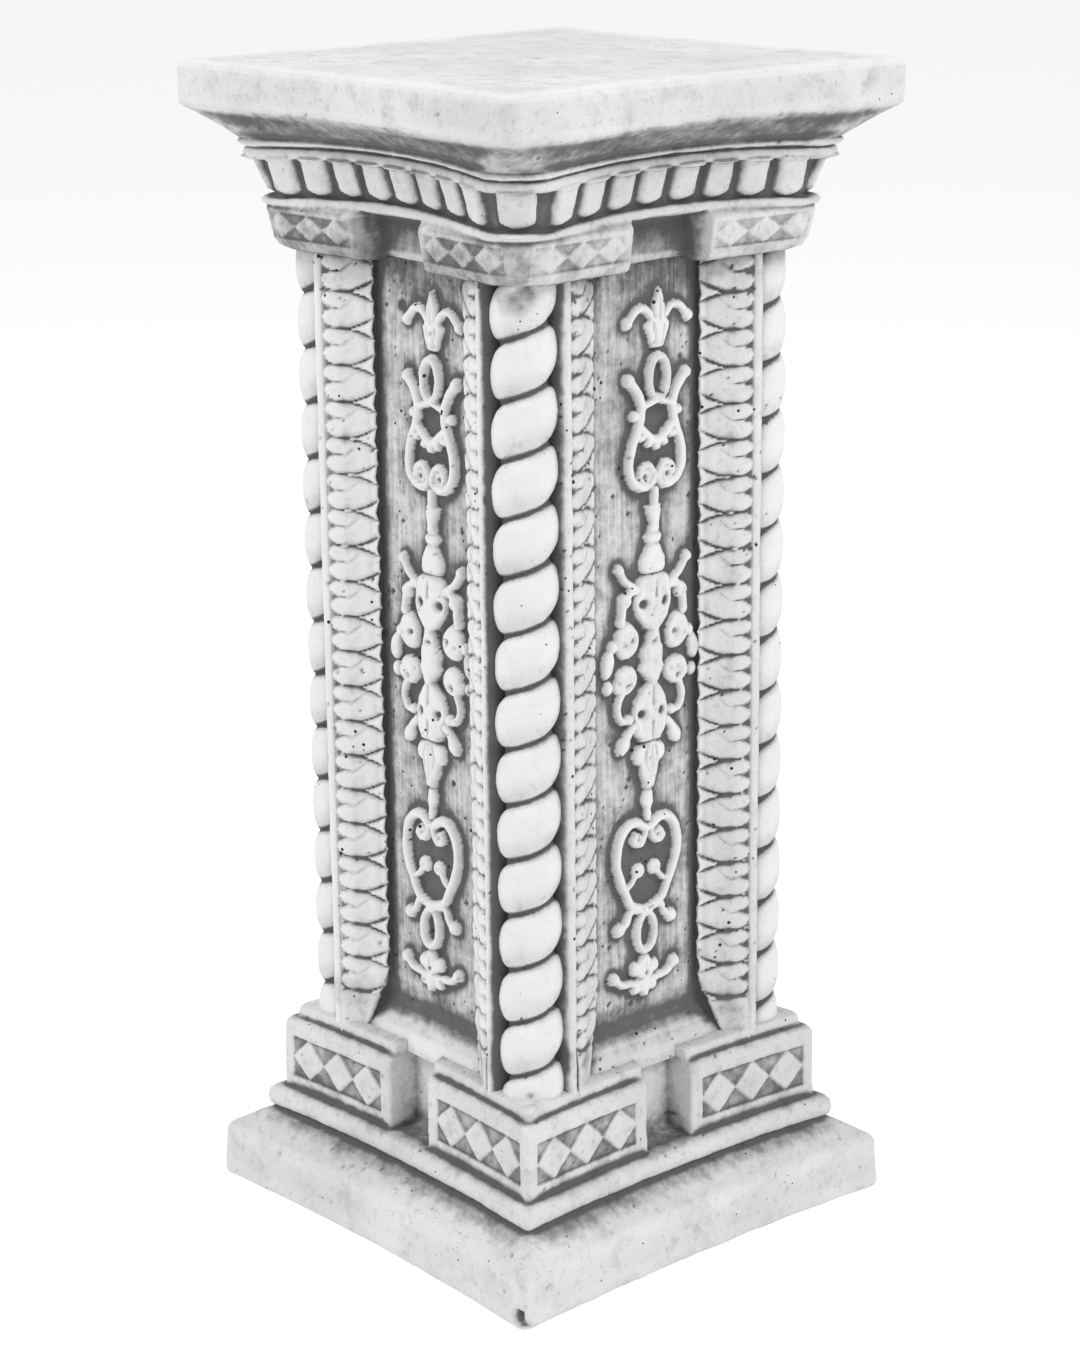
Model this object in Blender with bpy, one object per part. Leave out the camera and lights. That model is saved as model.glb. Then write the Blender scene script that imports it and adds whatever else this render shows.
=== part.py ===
"""Square cast-stone garden pedestal: moulded base, shaft with four ornament panels and rope
corners, and a dentilled capital under a flat top slab. One casting, so one closed solid.

Units are metres, +Z is up, the origin is the middle of the underside.
A face of the column is drawn in its own coordinates: s runs along the face to the right as
seen from outside, depth is the distance out from the vertical axis, z is the height.
"""
import math

import bmesh
import bpy

# Heights of the layers, from the ground up
PLINTH_HEIGHT = 0.034
PLINTH_SLOPE_HEIGHT = 0.012
TORUS_HEIGHT = 0.015
BLOCK_HEIGHT = 0.052
SHAFT_HEIGHT = 0.479
CAP_BLOCK_HEIGHT = 0.027
LOW_FILLET_HEIGHT = 0.004
DENTIL_HEIGHT = 0.022
FAT_FILLET_HEIGHT = 0.006
THIN_FILLET_HEIGHT = 0.004
COVE_HEIGHT = 0.017
SLAB_HEIGHT = 0.028

# Half widths of the square layers, measured at their corners
PLINTH_HALF = 0.147
PLINTH_TOP_HALF = 0.145
TORUS_HALF = 0.126
TORUS_BULGE = 0.0045
# Torus profile: share of its height, share of the bulge that is missing there
TORUS_PROFILE = [(0.0, 1.0), (0.25, 0.25), (0.75, 0.25), (1.0, 1.0)]
BLOCK_HALF = 0.1175
CORE_HALF = 0.098
CAP_BLOCK_HALF = 0.116
LOW_FILLET_HALF = 0.1195
DENTIL_BAND_LOW_HALF = 0.1135
DENTIL_BAND_HIGH_HALF = 0.1195
FAT_FILLET_HALF = 0.1262
THIN_FILLET_HALF = 0.1285
COVE_TOP_HALF = 0.1475
SLAB_HALF = 0.150
# Belly of the cove: share of its height, share of its overhang still to come
COVE_BELLY_HEIGHT = 0.5
COVE_BELLY_DEPTH = 0.47
# A ledge rises this much across its width
LEDGE_RISE = 0.001

# How far the middle of a side lies behind its corners, and how round the corners are
PLINTH_HOLLOW = 0.006
TORUS_HOLLOW = 0.006
BLOCK_HOLLOW = 0.006
CAP_HOLLOW = 0.0105
CAP_BLOCK_HOLLOW = 0.004
SLAB_HOLLOW = 0.005
SHARP_CORNER = 0.002
CAP_CORNER = 0.016
COVE_CORNER = 0.010
SLAB_CORNER = 0.005
SLAB_EDGE = 0.002
# Places along a side, as shares of the way from its middle to its corner
SIDE_SHARES = (-0.6, 0.0, 0.6)
CORNER_ANGLES_DEG = (0, 45, 90)

# Corner blocks of the base and of the capital
BLOCK_GAP_HALF = 0.017
BLOCK_EDGE = 0.004
CAP_BLOCK_GAP_HALF = 0.029
CAP_BLOCK_EDGE = 0.006
CAP_BLOCK_CORNER = 0.015

# Row of diamonds sunk into the face of each block: what is cut away is the triangles between
DIAMONDS_PER_BLOCK = 3
DIAMOND_DEPTH = 0.0016
DIAMOND_MARGIN_END = 0.010
DIAMOND_MARGIN_CORNER = 0.009
DIAMOND_MARGIN_LOW = 0.009
DIAMOND_MARGIN_HIGH = 0.016
DIAMOND_LINE = 0.0015

# Shaft in plan
PANEL_HALF = 0.045
PANEL_DEPTH = 0.0875
PANEL_RETURN = 0.0058
STILE_OUTER = 0.070
STILE_DEPTH = 0.108
SHAFT_FILLET_WIDTH = 0.008
ROPE_CENTRE = 0.088
NICHE_BACK = 0.1045
SILL_HEIGHT = 0.018
SILL_FRONT_HEIGHT = 0.0054

# Rope in each corner niche: one strand wound to the right. Its ends are hidden in the base and
# the capital, and its start sets the heights of the bulges.
ROPE_RADIUS = 0.0187
ROPE_GROOVE = 0.0032
ROPE_PITCH = 0.0333
ROPE_START = 0.0476
ROPE_TURNS = 17.5
ROPE_SIDES = 6
ROPE_ROWS_PER_TURN = 2
# The seam of the rope's rows faces into the column
ROPE_SEAM_TURN = 0.375

# Leaf border along each splayed stile
LEAVES_PER_STILE = 22
LEAF_PROUD = 0.0014
LEAF_OVERHANG = 0.0045
LEAF_NOTCH = 0.0011

# Dentils
DENTILS_PER_SIDE = 8
DENTIL_PITCH = 0.0244
DENTIL_WIDTH = 0.0165
DENTIL_PROUD = 0.0045
DENTIL_FOOT_PROUD = 0.0027
DENTIL_FOOT_RISE = 0.0015
CORNER_DENTIL_ANGLES_DEG = (12, 32, 58, 78)

# Panel ornament: its drawing is PATTERN_HEIGHT tall and is scaled to the height it has here
ORNAMENT_HEIGHT = 0.427
ORNAMENT_FOOT = 0.039
ORNAMENT_LEAN = 0.029
PATTERN_HEIGHT = 427.0
PATTERN_PLUMB = 51.0
PATTERN_SINK = 2.5
BOSS_SIDES = 6

# Faces that differ by less than this are one flat face
FLAT_ANGLE_DEG = 1.0

# How deep parts that are fused reach into each other
SINK = 0.003

STONE_COLOUR = (0.52, 0.52, 0.50, 1.0)
STONE_ROUGHNESS = 0.9

# Levels worked out from the heights
Z_SLOPE = PLINTH_HEIGHT
Z_TORUS = Z_SLOPE + PLINTH_SLOPE_HEIGHT
Z_BLOCK = Z_TORUS + TORUS_HEIGHT
Z_SHAFT = Z_BLOCK + BLOCK_HEIGHT
Z_CAP = Z_SHAFT + SHAFT_HEIGHT
Z_LOW_FILLET = Z_CAP + CAP_BLOCK_HEIGHT
Z_DENTIL = Z_LOW_FILLET + LOW_FILLET_HEIGHT
Z_FAT_FILLET = Z_DENTIL + DENTIL_HEIGHT
Z_THIN_FILLET = Z_FAT_FILLET + FAT_FILLET_HEIGHT
Z_COVE = Z_THIN_FILLET + THIN_FILLET_HEIGHT
Z_SLAB = Z_COVE + COVE_HEIGHT
Z_TOP = Z_SLAB + SLAB_HEIGHT

QUARTERS = range(4)
MIRRORED = (1, -1)


class Shape:
    """Closed bodies gathered as one list of points and faces."""

    def __init__(self):
        self.points = []
        self.faces = []

    def add(self, points, faces):
        start = len(self.points)
        self.points += points
        self.faces += [tuple(start + i for i in face) for face in faces]

    def to_object(self, name):
        mesh = bpy.data.meshes.new(name)
        mesh.from_pydata(self.points, [], self.faces)
        tidy = bmesh.new()
        tidy.from_mesh(mesh)
        bmesh.ops.recalc_face_normals(tidy, faces=tidy.faces)
        bmesh.ops.triangulate(tidy, faces=tidy.faces)
        tidy.to_mesh(mesh)
        tidy.free()
        item = bpy.data.objects.new(name, mesh)
        bpy.context.collection.objects.link(item)
        return item


def on_face(quarter, s, depth, z):
    """World point of face coordinates; face 0 looks along +X, the others follow to the left."""
    x, y = depth, s
    for _ in range(quarter):
        x, y = -y, x
    return (x, y, z)


def loft(shape, rings):
    """Closed body through rings of equally many points."""
    count = len(rings[0])
    points = [point for ring in rings for point in ring]
    faces = [tuple(reversed(range(count)))]
    for level in range(len(rings) - 1):
        low = level * count
        high = low + count
        for i in range(count):
            j = (i + 1) % count
            faces.append((low + i, low + j, high + j, high + i))
    faces.append(tuple(range(len(points) - count, len(points))))
    shape.add(points, faces)


def hollow_side(s, half, hollow):
    """Depth of a side that is drawn in towards its middle."""
    return half - hollow * (1 - (s / half) ** 2)


def square_ring(z, half, hollow, corner):
    """Square outline with hollow sides and a rounded corner of three points."""
    ring = []
    reach = half - corner
    for quarter in QUARTERS:
        for share in SIDE_SHARES:
            s = share * reach
            ring.append(on_face(quarter, s, hollow_side(s, half, hollow), z))
        for angle in CORNER_ANGLES_DEG:
            turn = math.radians(angle)
            along = reach + corner * math.sin(turn)
            out = reach + corner * math.cos(turn)
            ring.append(on_face(quarter, along, out, z))
    return ring


def add_base_core(shape):
    """Plinth, sloping top, torus, and the plain core between the corner blocks up to the sill."""
    levels = [(0.0, PLINTH_HALF, PLINTH_HOLLOW), (Z_SLOPE, PLINTH_TOP_HALF, PLINTH_HOLLOW)]
    for height_share, bulge_share in TORUS_PROFILE:
        levels.append((Z_TORUS + TORUS_HEIGHT * height_share,
                       TORUS_HALF - TORUS_BULGE * bulge_share, TORUS_HOLLOW))
    levels += [
        (Z_BLOCK + LEDGE_RISE, CORE_HALF, 0.0),
        (Z_SHAFT + SILL_FRONT_HEIGHT, CORE_HALF, 0.0),
        (Z_SHAFT + SILL_HEIGHT, PANEL_DEPTH - SINK, 0.0),
    ]
    loft(shape, [square_ring(z, half, hollow, SHARP_CORNER) for z, half, hollow in levels])


def block_outline(half, hollow, gap, corner, shrink):
    """Plan of a corner block in one quadrant, made smaller by shrink along its outer edges."""
    edge = half - shrink
    start = gap + shrink
    middle = (gap + half) / 2
    inner = gap + CORE_HALF / 2
    turn_at = edge - corner
    slant = corner * (1 - math.sqrt(0.5))
    return [
        (hollow_side(start, half, hollow) - shrink, start),
        (hollow_side(middle, half, hollow) - shrink, middle),
        (edge, turn_at),
        (edge - slant, edge - slant),
        (turn_at, edge),
        (middle, hollow_side(middle, half, hollow) - shrink),
        (start, hollow_side(start, half, hollow) - shrink),
        (start, inner),
        (inner, start),
    ]


def add_blocks(shape, z_low, z_high, half, hollow, gap, corner, low_edge, high_edge):
    """Four corner blocks; the edge that is rounded is chamfered here."""
    levels = [(z_low, low_edge)]
    if low_edge:
        levels.append((z_low + low_edge, 0.0))
    levels.append((z_high - high_edge, 0.0))
    if high_edge:
        levels.append((z_high, high_edge))
    for quarter in QUARTERS:
        rings = []
        for z, shrink in levels:
            outline = block_outline(half, hollow, gap, corner, shrink)
            rings.append([on_face(quarter, y, x, z) for x, y in outline])
        loft(shape, rings)


def shaft_outline():
    """Half of one face's plan, from the panel's middle to the corner niche."""
    return [
        (STILE_OUTER, PANEL_DEPTH),
        (STILE_OUTER, STILE_DEPTH),
        (STILE_OUTER + SHAFT_FILLET_WIDTH, STILE_DEPTH),
        (STILE_OUTER + SHAFT_FILLET_WIDTH, NICHE_BACK),
    ]


def add_shaft(shape):
    """Prism of the shaft, reaching into the base and into the capital."""
    rings = []
    for z in (Z_SHAFT - SINK, Z_CAP + SINK):
        ring = []
        for quarter in QUARTERS:
            half = shaft_outline()
            ring += [on_face(quarter, -s, depth, z) for s, depth in reversed(half)]
            ring += [on_face(quarter, s, depth, z) for s, depth in half]
        rings.append(ring)
    loft(shape, rings)


def add_ropes(shape):
    """Ropes: rows of points, groove and bulge in turn, that climb with the winding.

    A row's last point joins the first point of the row one turn higher.
    """
    rows = int(ROPE_TURNS * ROPE_ROWS_PER_TURN)
    last = ROPE_SIDES - 1
    for quarter in QUARTERS:
        points = []
        for row in range(rows + 1):
            radius = ROPE_RADIUS if row % ROPE_ROWS_PER_TURN else ROPE_RADIUS - ROPE_GROOVE
            for side in range(ROPE_SIDES):
                share = side / ROPE_SIDES
                angle = math.tau * (share - ROPE_SEAM_TURN)
                z = ROPE_START + ROPE_PITCH * (row / ROPE_ROWS_PER_TURN + share)
                s = ROPE_CENTRE + radius * math.sin(angle)
                depth = ROPE_CENTRE + radius * math.cos(angle)
                points.append(on_face(quarter, s, depth, z))
        faces = []
        for row in range(rows):
            for side in range(last):
                low = row * ROPE_SIDES + side
                faces.append((low, low + 1, low + 1 + ROPE_SIDES, low + ROPE_SIDES))
            if row < rows - ROPE_ROWS_PER_TURN:
                low = row * ROPE_SIDES + last
                over = (row + ROPE_ROWS_PER_TURN) * ROPE_SIDES
                faces.append((low, over, over + ROPE_SIDES, low + ROPE_SIDES))
        low_rim = list(range(ROPE_SIDES))
        low_rim += [row * ROPE_SIDES for row in range(ROPE_ROWS_PER_TURN, 0, -1)]
        high_rim = [rows * ROPE_SIDES + side for side in range(ROPE_SIDES)]
        high_rim += [row * ROPE_SIDES + last
                     for row in range(rows - 1, rows - ROPE_ROWS_PER_TURN - 1, -1)]
        for rim in (low_rim, high_rim):
            heights = [points[i][2] for i in rim]
            centre = len(points)
            middle = sum(heights) / len(heights)
            points.append(on_face(quarter, ROPE_CENTRE, ROPE_CENTRE, middle))
            for i, here in enumerate(rim):
                faces.append((here, rim[(i + 1) % len(rim)], centre))
        shape.add(points, faces)


def add_leaf_borders(shape):
    """Row of leaves along each stile: a strip whose inner edge swells out over each leaf."""
    foot = PANEL_DEPTH - SINK
    outer = (STILE_OUTER + SINK / 2, STILE_DEPTH - SINK / 2)
    back = (STILE_OUTER + SINK / 2, PANEL_DEPTH - SINK / 2)
    lobe_edge = PANEL_HALF - LEAF_OVERHANG
    notch_edge = PANEL_HALF + LEAF_NOTCH
    rim = PANEL_DEPTH + PANEL_RETURN
    lobe = [(lobe_edge, foot), (lobe_edge, rim + LEAF_PROUD), outer, back]
    notch = [(notch_edge, foot), (notch_edge, rim), outer, back]
    pitch = SHAFT_HEIGHT / LEAVES_PER_STILE
    for quarter in QUARTERS:
        for side in MIRRORED:
            rings = []
            for step in range(2 * LEAVES_PER_STILE + 1):
                section = lobe if step % 2 else notch
                z = Z_SHAFT + pitch * step / 2
                if step == 0:
                    z -= SINK
                if step == 2 * LEAVES_PER_STILE:
                    z += SINK
                rings.append([on_face(quarter, side * s, depth, z) for s, depth in section])
            loft(shape, rings)


def add_capital_core(shape):
    """Capital from the recess between its blocks up to the slab."""
    cove_belly = COVE_TOP_HALF - (COVE_TOP_HALF - THIN_FILLET_HALF) * COVE_BELLY_DEPTH
    levels = [
        (Z_CAP + SINK, PANEL_DEPTH, 0.0, SHARP_CORNER),
        (Z_CAP + SINK + LEDGE_RISE, CORE_HALF, 0.0, SHARP_CORNER),
        (Z_LOW_FILLET, CORE_HALF, 0.0, SHARP_CORNER),
        (Z_LOW_FILLET, LOW_FILLET_HALF, CAP_HOLLOW, CAP_CORNER),
        (Z_DENTIL, LOW_FILLET_HALF, CAP_HOLLOW, CAP_CORNER),
        (Z_DENTIL + LEDGE_RISE, DENTIL_BAND_LOW_HALF, CAP_HOLLOW, CAP_CORNER),
        (Z_FAT_FILLET, DENTIL_BAND_HIGH_HALF, CAP_HOLLOW, CAP_CORNER),
        (Z_FAT_FILLET, FAT_FILLET_HALF, CAP_HOLLOW, CAP_CORNER),
        (Z_THIN_FILLET, FAT_FILLET_HALF, CAP_HOLLOW, CAP_CORNER),
        (Z_THIN_FILLET + LEDGE_RISE, THIN_FILLET_HALF, CAP_HOLLOW, CAP_CORNER),
        (Z_COVE, THIN_FILLET_HALF, CAP_HOLLOW, CAP_CORNER),
        (Z_COVE + COVE_HEIGHT * COVE_BELLY_HEIGHT, cove_belly, CAP_HOLLOW, COVE_CORNER),
        (Z_SLAB, COVE_TOP_HALF, SLAB_HOLLOW, SLAB_CORNER),
        (Z_SLAB, SLAB_HALF, SLAB_HOLLOW, SLAB_CORNER),
        (Z_TOP - SLAB_EDGE, SLAB_HALF, SLAB_HOLLOW, SLAB_CORNER),
        (Z_TOP, SLAB_HALF - SLAB_EDGE, SLAB_HOLLOW, SLAB_CORNER),
    ]
    loft(shape, [square_ring(*level) for level in levels])


def dentil_levels():
    """Height, half width of the band behind, and how proud the dentil stands, at foot and top."""
    return [(Z_DENTIL + DENTIL_FOOT_RISE, DENTIL_BAND_LOW_HALF, DENTIL_FOOT_PROUD),
            (Z_FAT_FILLET + LEDGE_RISE, DENTIL_BAND_HIGH_HALF, DENTIL_PROUD)]


def add_dentils(shape):
    """Dentils along each side, and a wider one round each corner."""
    half_width = DENTIL_WIDTH / 2
    for quarter in QUARTERS:
        for index in range(DENTILS_PER_SIDE):
            s = (index - (DENTILS_PER_SIDE - 1) / 2) * DENTIL_PITCH
            rings = []
            for z, half, proud in dentil_levels():
                band = hollow_side(s, half, CAP_HOLLOW)
                corners = ((-half_width, -SINK), (half_width, -SINK), (half_width, proud),
                           (-half_width, proud))
                rings.append([on_face(quarter, s + ds, band + out, z) for ds, out in corners])
            loft(shape, rings)
        add_corner_dentil(shape, quarter)


def add_corner_dentil(shape, quarter):
    """Dentil that follows the rounded corner of the capital."""
    first, last = CORNER_DENTIL_ANGLES_DEG[0], CORNER_DENTIL_ANGLES_DEG[-1]
    rings = []
    for z, half, proud in dentil_levels():
        centre = half - CAP_CORNER
        ring = []
        for radius, angles in ((CAP_CORNER + proud, CORNER_DENTIL_ANGLES_DEG),
                               (CAP_CORNER - SINK, (last, first))):
            for angle in angles:
                turn = math.radians(angle)
                ring.append(on_face(quarter, centre + radius * math.sin(turn),
                                    centre + radius * math.cos(turn), z))
        rings.append(ring)
    loft(shape, rings)


def add_diamond_cuts(shape):
    """Triangles sunk between the diamonds on both faces of the four base blocks."""
    first = BLOCK_GAP_HALF + DIAMOND_MARGIN_END
    last = BLOCK_HALF - DIAMOND_MARGIN_CORNER
    pitch = (last - first) / DIAMONDS_PER_BLOCK
    z_low = Z_BLOCK + DIAMOND_MARGIN_LOW
    z_high = Z_SHAFT - DIAMOND_MARGIN_HIGH
    z_middle = (z_low + z_high) / 2
    for quarter in QUARTERS:
        for side in MIRRORED:
            for index in range(1, DIAMONDS_PER_BLOCK):
                s = first + pitch * index
                left = s - pitch / 2 + DIAMOND_LINE
                right = s + pitch / 2 - DIAMOND_LINE
                for rim, tip in ((z_low, z_middle - DIAMOND_LINE),
                                 (z_high, z_middle + DIAMOND_LINE)):
                    rings = []
                    for out in (-DIAMOND_DEPTH, SINK):
                        rings.append([on_face(quarter, side * c,
                                              hollow_side(c, BLOCK_HALF, BLOCK_HOLLOW) + out, z)
                                      for c, z in ((left, rim), (right, rim), (s, tip))])
                    loft(shape, rings)


# Drawing of the panel ornament, one half, in millimetres of a pattern PATTERN_HEIGHT tall:
# u is the distance from the centre line, v the height over the ornament's foot.
# A band follows its points with a width and a height.
BANDS = [
    ("petal", 5.5, 5.5, [(4, 407), (12, 415), (23.5, 406.5)]),
    ("ring", 4.8, 8.0, [(0, 387.5), (6.8, 382), (6.4, 370), (-1, 360)]),
    ("cage", 6.5, 7.0, [(22, 375), (13, 364), (13.5, 348), (20.5, 330), (17, 315), (9, 311.5)]),
    ("ribbon", 5.0, 6.5, [(0, 361), (10, 350), (0, 337.5)]),
    ("arm", 5.0, 6.0, [(13, 250), (23.5, 245), (21, 228)]),
    ("low_cage", 5.5, 7.0, [(1, 107), (10, 111), (22.5, 102), (22, 84), (0, 53)]),
    ("tail", 6.0, 5.5, [(10, 64), (22, 44)]),
    ("low_ring", 4.8, 8.0, [(0, 55), (7, 44), (6, 32), (-1, 28)]),
    ("low_arm", 5.5, 6.0, [(4, 12), (26, 18)]),
]

# Central stem from the top down: height, half width, how proud it stands.
STEMS = [
    [(426, 1.5, 3), (407, 8, 7), (394, 5, 6)],
    [(312, 2.5, 5), (301, 2.8, 5), (299, 6.4, 6), (290, 3.6, 5), (268, 10, 8), (258, 8, 8),
     (243, 16.5, 9), (226, 5, 8), (208, 10, 9.5), (193, 4, 8), (176, 15.5, 9), (149, 10, 7.5),
     (130, 3.5, 5.5), (121, 5, 5.5), (111, 2, 4.5)],
    [(25.5, 2.5, 5), (14, 9, 8), (0, 3.5, 4.5)],
]

# Oval bosses: place, two radii, tilt in degrees, how proud they stand.
BOSSES = [
    ("volute", 8.3, 318.0, 7.6, 8.0, 0, 7.5),
    ("eye_oval", 19.5, 223.0, 10.5, 12.0, 20, 8.5),
    ("outer_drop", 33.5, 210.0, 5.0, 9.5, 10, 5.5),
    ("low_oval", 20.0, 199.0, 10.5, 9.0, -20, 8.0),
    ("side_drop", 20.0, 157.5, 6.0, 8.0, 30, 6.5),
    ("spiral", 8.0, 100.5, 5.4, 5.4, 0, 6.5),
]


def ornament_point(quarter, u, v, proud):
    """Point of the pattern on a panel; the pattern stands a little out of plumb."""
    scale = ORNAMENT_HEIGHT / PATTERN_HEIGHT
    lean = ORNAMENT_LEAN * (v - PATTERN_PLUMB) * scale
    z = Z_SHAFT + ORNAMENT_FOOT + v * scale
    return on_face(quarter, u * scale + lean, PANEL_DEPTH + proud * scale, z)


def add_band(shape, quarter, side, width, height, route):
    """Raised strap along a route, with a ridge."""
    rings = []
    for i, (u, v) in enumerate(route):
        before = route[max(i - 1, 0)]
        after = route[min(i + 1, len(route) - 1)]
        du, dv = after[0] - before[0], after[1] - before[1]
        size = math.hypot(du, dv)
        nu, nv = -dv / size, du / size
        half = width / 2
        section = [(-half, -PATTERN_SINK), (half, -PATTERN_SINK), (0.0, height)]
        rings.append([ornament_point(quarter, side * (u + nu * w), v + nv * w, h) for w, h in section])
    loft(shape, rings)


def add_stem(shape, quarter, levels):
    """Piece of the central stem: a ridge with its own width at each height."""
    rings = []
    for v, half, height in levels:
        section = [(-half, -PATTERN_SINK), (half, -PATTERN_SINK), (0.0, height)]
        rings.append([ornament_point(quarter, u, v, h) for u, h in section])
    loft(shape, rings)


def add_boss(shape, quarter, side, u, v, radius_u, radius_v, tilt, height):
    """Low oval boss: a rim of straight sides that rises to a point."""
    turn = math.radians(tilt)
    rim = []
    for corner in range(BOSS_SIDES):
        angle = math.tau * corner / BOSS_SIDES
        a = radius_u * math.cos(angle)
        b = radius_v * math.sin(angle)
        du = a * math.cos(turn) - b * math.sin(turn)
        dv = a * math.sin(turn) + b * math.cos(turn)
        rim.append(ornament_point(quarter, side * (u + du), v + dv, -PATTERN_SINK))
    top = BOSS_SIDES
    faces = [tuple(range(BOSS_SIDES))]
    faces += [(corner, (corner + 1) % BOSS_SIDES, top) for corner in range(BOSS_SIDES)]
    shape.add(rim + [ornament_point(quarter, side * u, v, height)], faces)


def add_ornament(shape):
    """The same relief on all four panels."""
    for quarter in QUARTERS:
        for levels in STEMS:
            add_stem(shape, quarter, levels)
        for side in MIRRORED:
            for _, width, height, route in BANDS:
                add_band(shape, quarter, side, width, height, route)
            for _, *oval in BOSSES:
                add_boss(shape, quarter, side, *oval)


def boolean(target, cutter, operation):
    """Apply one exact Boolean and remove the second operand."""
    step = target.modifiers.new(operation, "BOOLEAN")
    step.operation = operation
    step.solver = "EXACT"
    step.use_self = True
    step.object = cutter
    evaluated = target.evaluated_get(bpy.context.evaluated_depsgraph_get())
    result = bpy.data.meshes.new_from_object(evaluated)
    target.modifiers.clear()
    old = target.data
    target.data = result
    bpy.data.meshes.remove(old)
    bpy.data.objects.remove(cutter)


def merge_flat_faces(item):
    """Join the coplanar pieces that the Booleans leave."""
    shape = bmesh.new()
    shape.from_mesh(item.data)
    bmesh.ops.dissolve_limit(shape, angle_limit=math.radians(FLAT_ANGLE_DEG), verts=shape.verts,
                             edges=shape.edges)
    bmesh.ops.triangulate(shape, faces=shape.faces)
    shape.to_mesh(item.data)
    shape.free()


def stone_material():
    material = bpy.data.materials.new("cast_stone")
    material.use_nodes = True
    shader = material.node_tree.nodes["Principled BSDF"]
    shader.inputs["Base Color"].default_value = STONE_COLOUR
    shader.inputs["Roughness"].default_value = STONE_ROUGHNESS
    shader.inputs["Metallic"].default_value = 0.0
    return material


def build():
    for item in list(bpy.data.objects):
        bpy.data.objects.remove(item)

    body = Shape()
    add_base_core(body)
    column = body.to_object("column")

    blocks = Shape()
    add_blocks(blocks, Z_BLOCK - SINK, Z_SHAFT, BLOCK_HALF, BLOCK_HOLLOW, BLOCK_GAP_HALF,
               SHARP_CORNER, 0.0, BLOCK_EDGE)
    add_blocks(blocks, Z_CAP, Z_LOW_FILLET + SINK, CAP_BLOCK_HALF, CAP_BLOCK_HOLLOW,
               CAP_BLOCK_GAP_HALF, CAP_BLOCK_CORNER, CAP_BLOCK_EDGE, 0.0)
    boolean(column, blocks.to_object("blocks"), "UNION")

    capital = Shape()
    add_capital_core(capital)
    boolean(column, capital.to_object("capital"), "UNION")

    cuts = Shape()
    add_diamond_cuts(cuts)
    boolean(column, cuts.to_object("diamond_cuts"), "DIFFERENCE")

    shaft = Shape()
    add_shaft(shaft)
    boolean(column, shaft.to_object("shaft"), "UNION")

    relief = Shape()
    add_ropes(relief)
    add_leaf_borders(relief)
    add_dentils(relief)
    boolean(column, relief.to_object("ropes_and_leaves"), "UNION")

    ornament = Shape()
    add_ornament(ornament)
    boolean(column, ornament.to_object("ornament"), "UNION")

    merge_flat_faces(column)
    column.data.materials.clear()
    column.data.materials.append(stone_material())


build()
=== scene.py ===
"""Square cast-stone garden pedestal, dressed in one weathered stone surface.

The carving is worked out in millimetres on the four equal sides of the mould and then roughened
side by side, so that no two sides wear alike. A side is drawn in its own coordinates: s runs to
the right as seen from outside, depth is the distance out from the axis, z is the height.
"""
import math

import bpy
import numpy as np
from mathutils import Matrix, Vector, kdtree


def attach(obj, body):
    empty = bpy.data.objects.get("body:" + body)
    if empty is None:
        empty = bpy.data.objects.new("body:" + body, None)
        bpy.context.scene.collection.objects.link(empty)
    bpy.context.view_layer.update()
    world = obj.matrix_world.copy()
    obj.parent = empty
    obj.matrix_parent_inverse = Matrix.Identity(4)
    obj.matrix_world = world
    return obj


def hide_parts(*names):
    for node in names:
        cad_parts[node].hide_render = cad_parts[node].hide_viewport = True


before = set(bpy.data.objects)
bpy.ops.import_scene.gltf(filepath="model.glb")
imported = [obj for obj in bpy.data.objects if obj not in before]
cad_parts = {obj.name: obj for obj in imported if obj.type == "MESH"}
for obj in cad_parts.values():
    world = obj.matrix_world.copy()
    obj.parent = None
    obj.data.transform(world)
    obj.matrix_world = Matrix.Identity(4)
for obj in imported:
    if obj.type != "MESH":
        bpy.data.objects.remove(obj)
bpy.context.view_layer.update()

MM = 0.001
BOX_HALF = 150.0
BOX_TOP = 700.0
SEED = 11

# Shaft in plan
PANEL_DEPTH = 87.5
RIM_S = 45.0
RIM_DEPTH = 93.3
SPLAY_DEG = 30.0
SPLAY_WIDTH = 28.9
SHAFT_LOW = 109.0
SHAFT_HIGH = 595.0
SHAFT_ROW = 1.2
PANEL_COLUMNS = 43
SPLAY_COLUMNS = 24

# Wall between panel and splay: where it stands, the shares of it that get a column, how much of its
# painted shade fades up from the foot, and the wash and painted shade on the panel beside its foot
WALL_FOOT_S = 44.6
WALL_PARTS = (0.2, 0.45, 0.7, 0.88)
WALL_SHADE_LOSS = 0.45
PANEL_EDGE_START = 0.74
PANEL_EDGE_WASH_AND_SHADE = 0.9

# Fillet and niche beside each rope: place along the side, depth, wash
FILLET_COLUMNS = (
    (69.8, 105.9, 0.5), (70.5, 107.5, 0.0), (71.8, 108.3, 0.0), (73.8, 108.5, 0.0), (75.4, 108.2, 0.1),
    (76.6, 107.2, 0.6), (77.5, 105.0, 1.0), (77.9, 102.0, 1.2), (78.4, 97.0, 1.2),
)

# Sloping sill at the foot of each panel: height, depth
SILL = (
    (SHAFT_LOW, 98.2), (114.0, 98.2), (117.0, 97.8), (120.0, 96.2), (124.0, 93.2), (128.0, 90.2),
    (132.0, 87.8), (137.0, 86.4), (143.0, 87.0), (150.0, PANEL_DEPTH),
)

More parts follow.
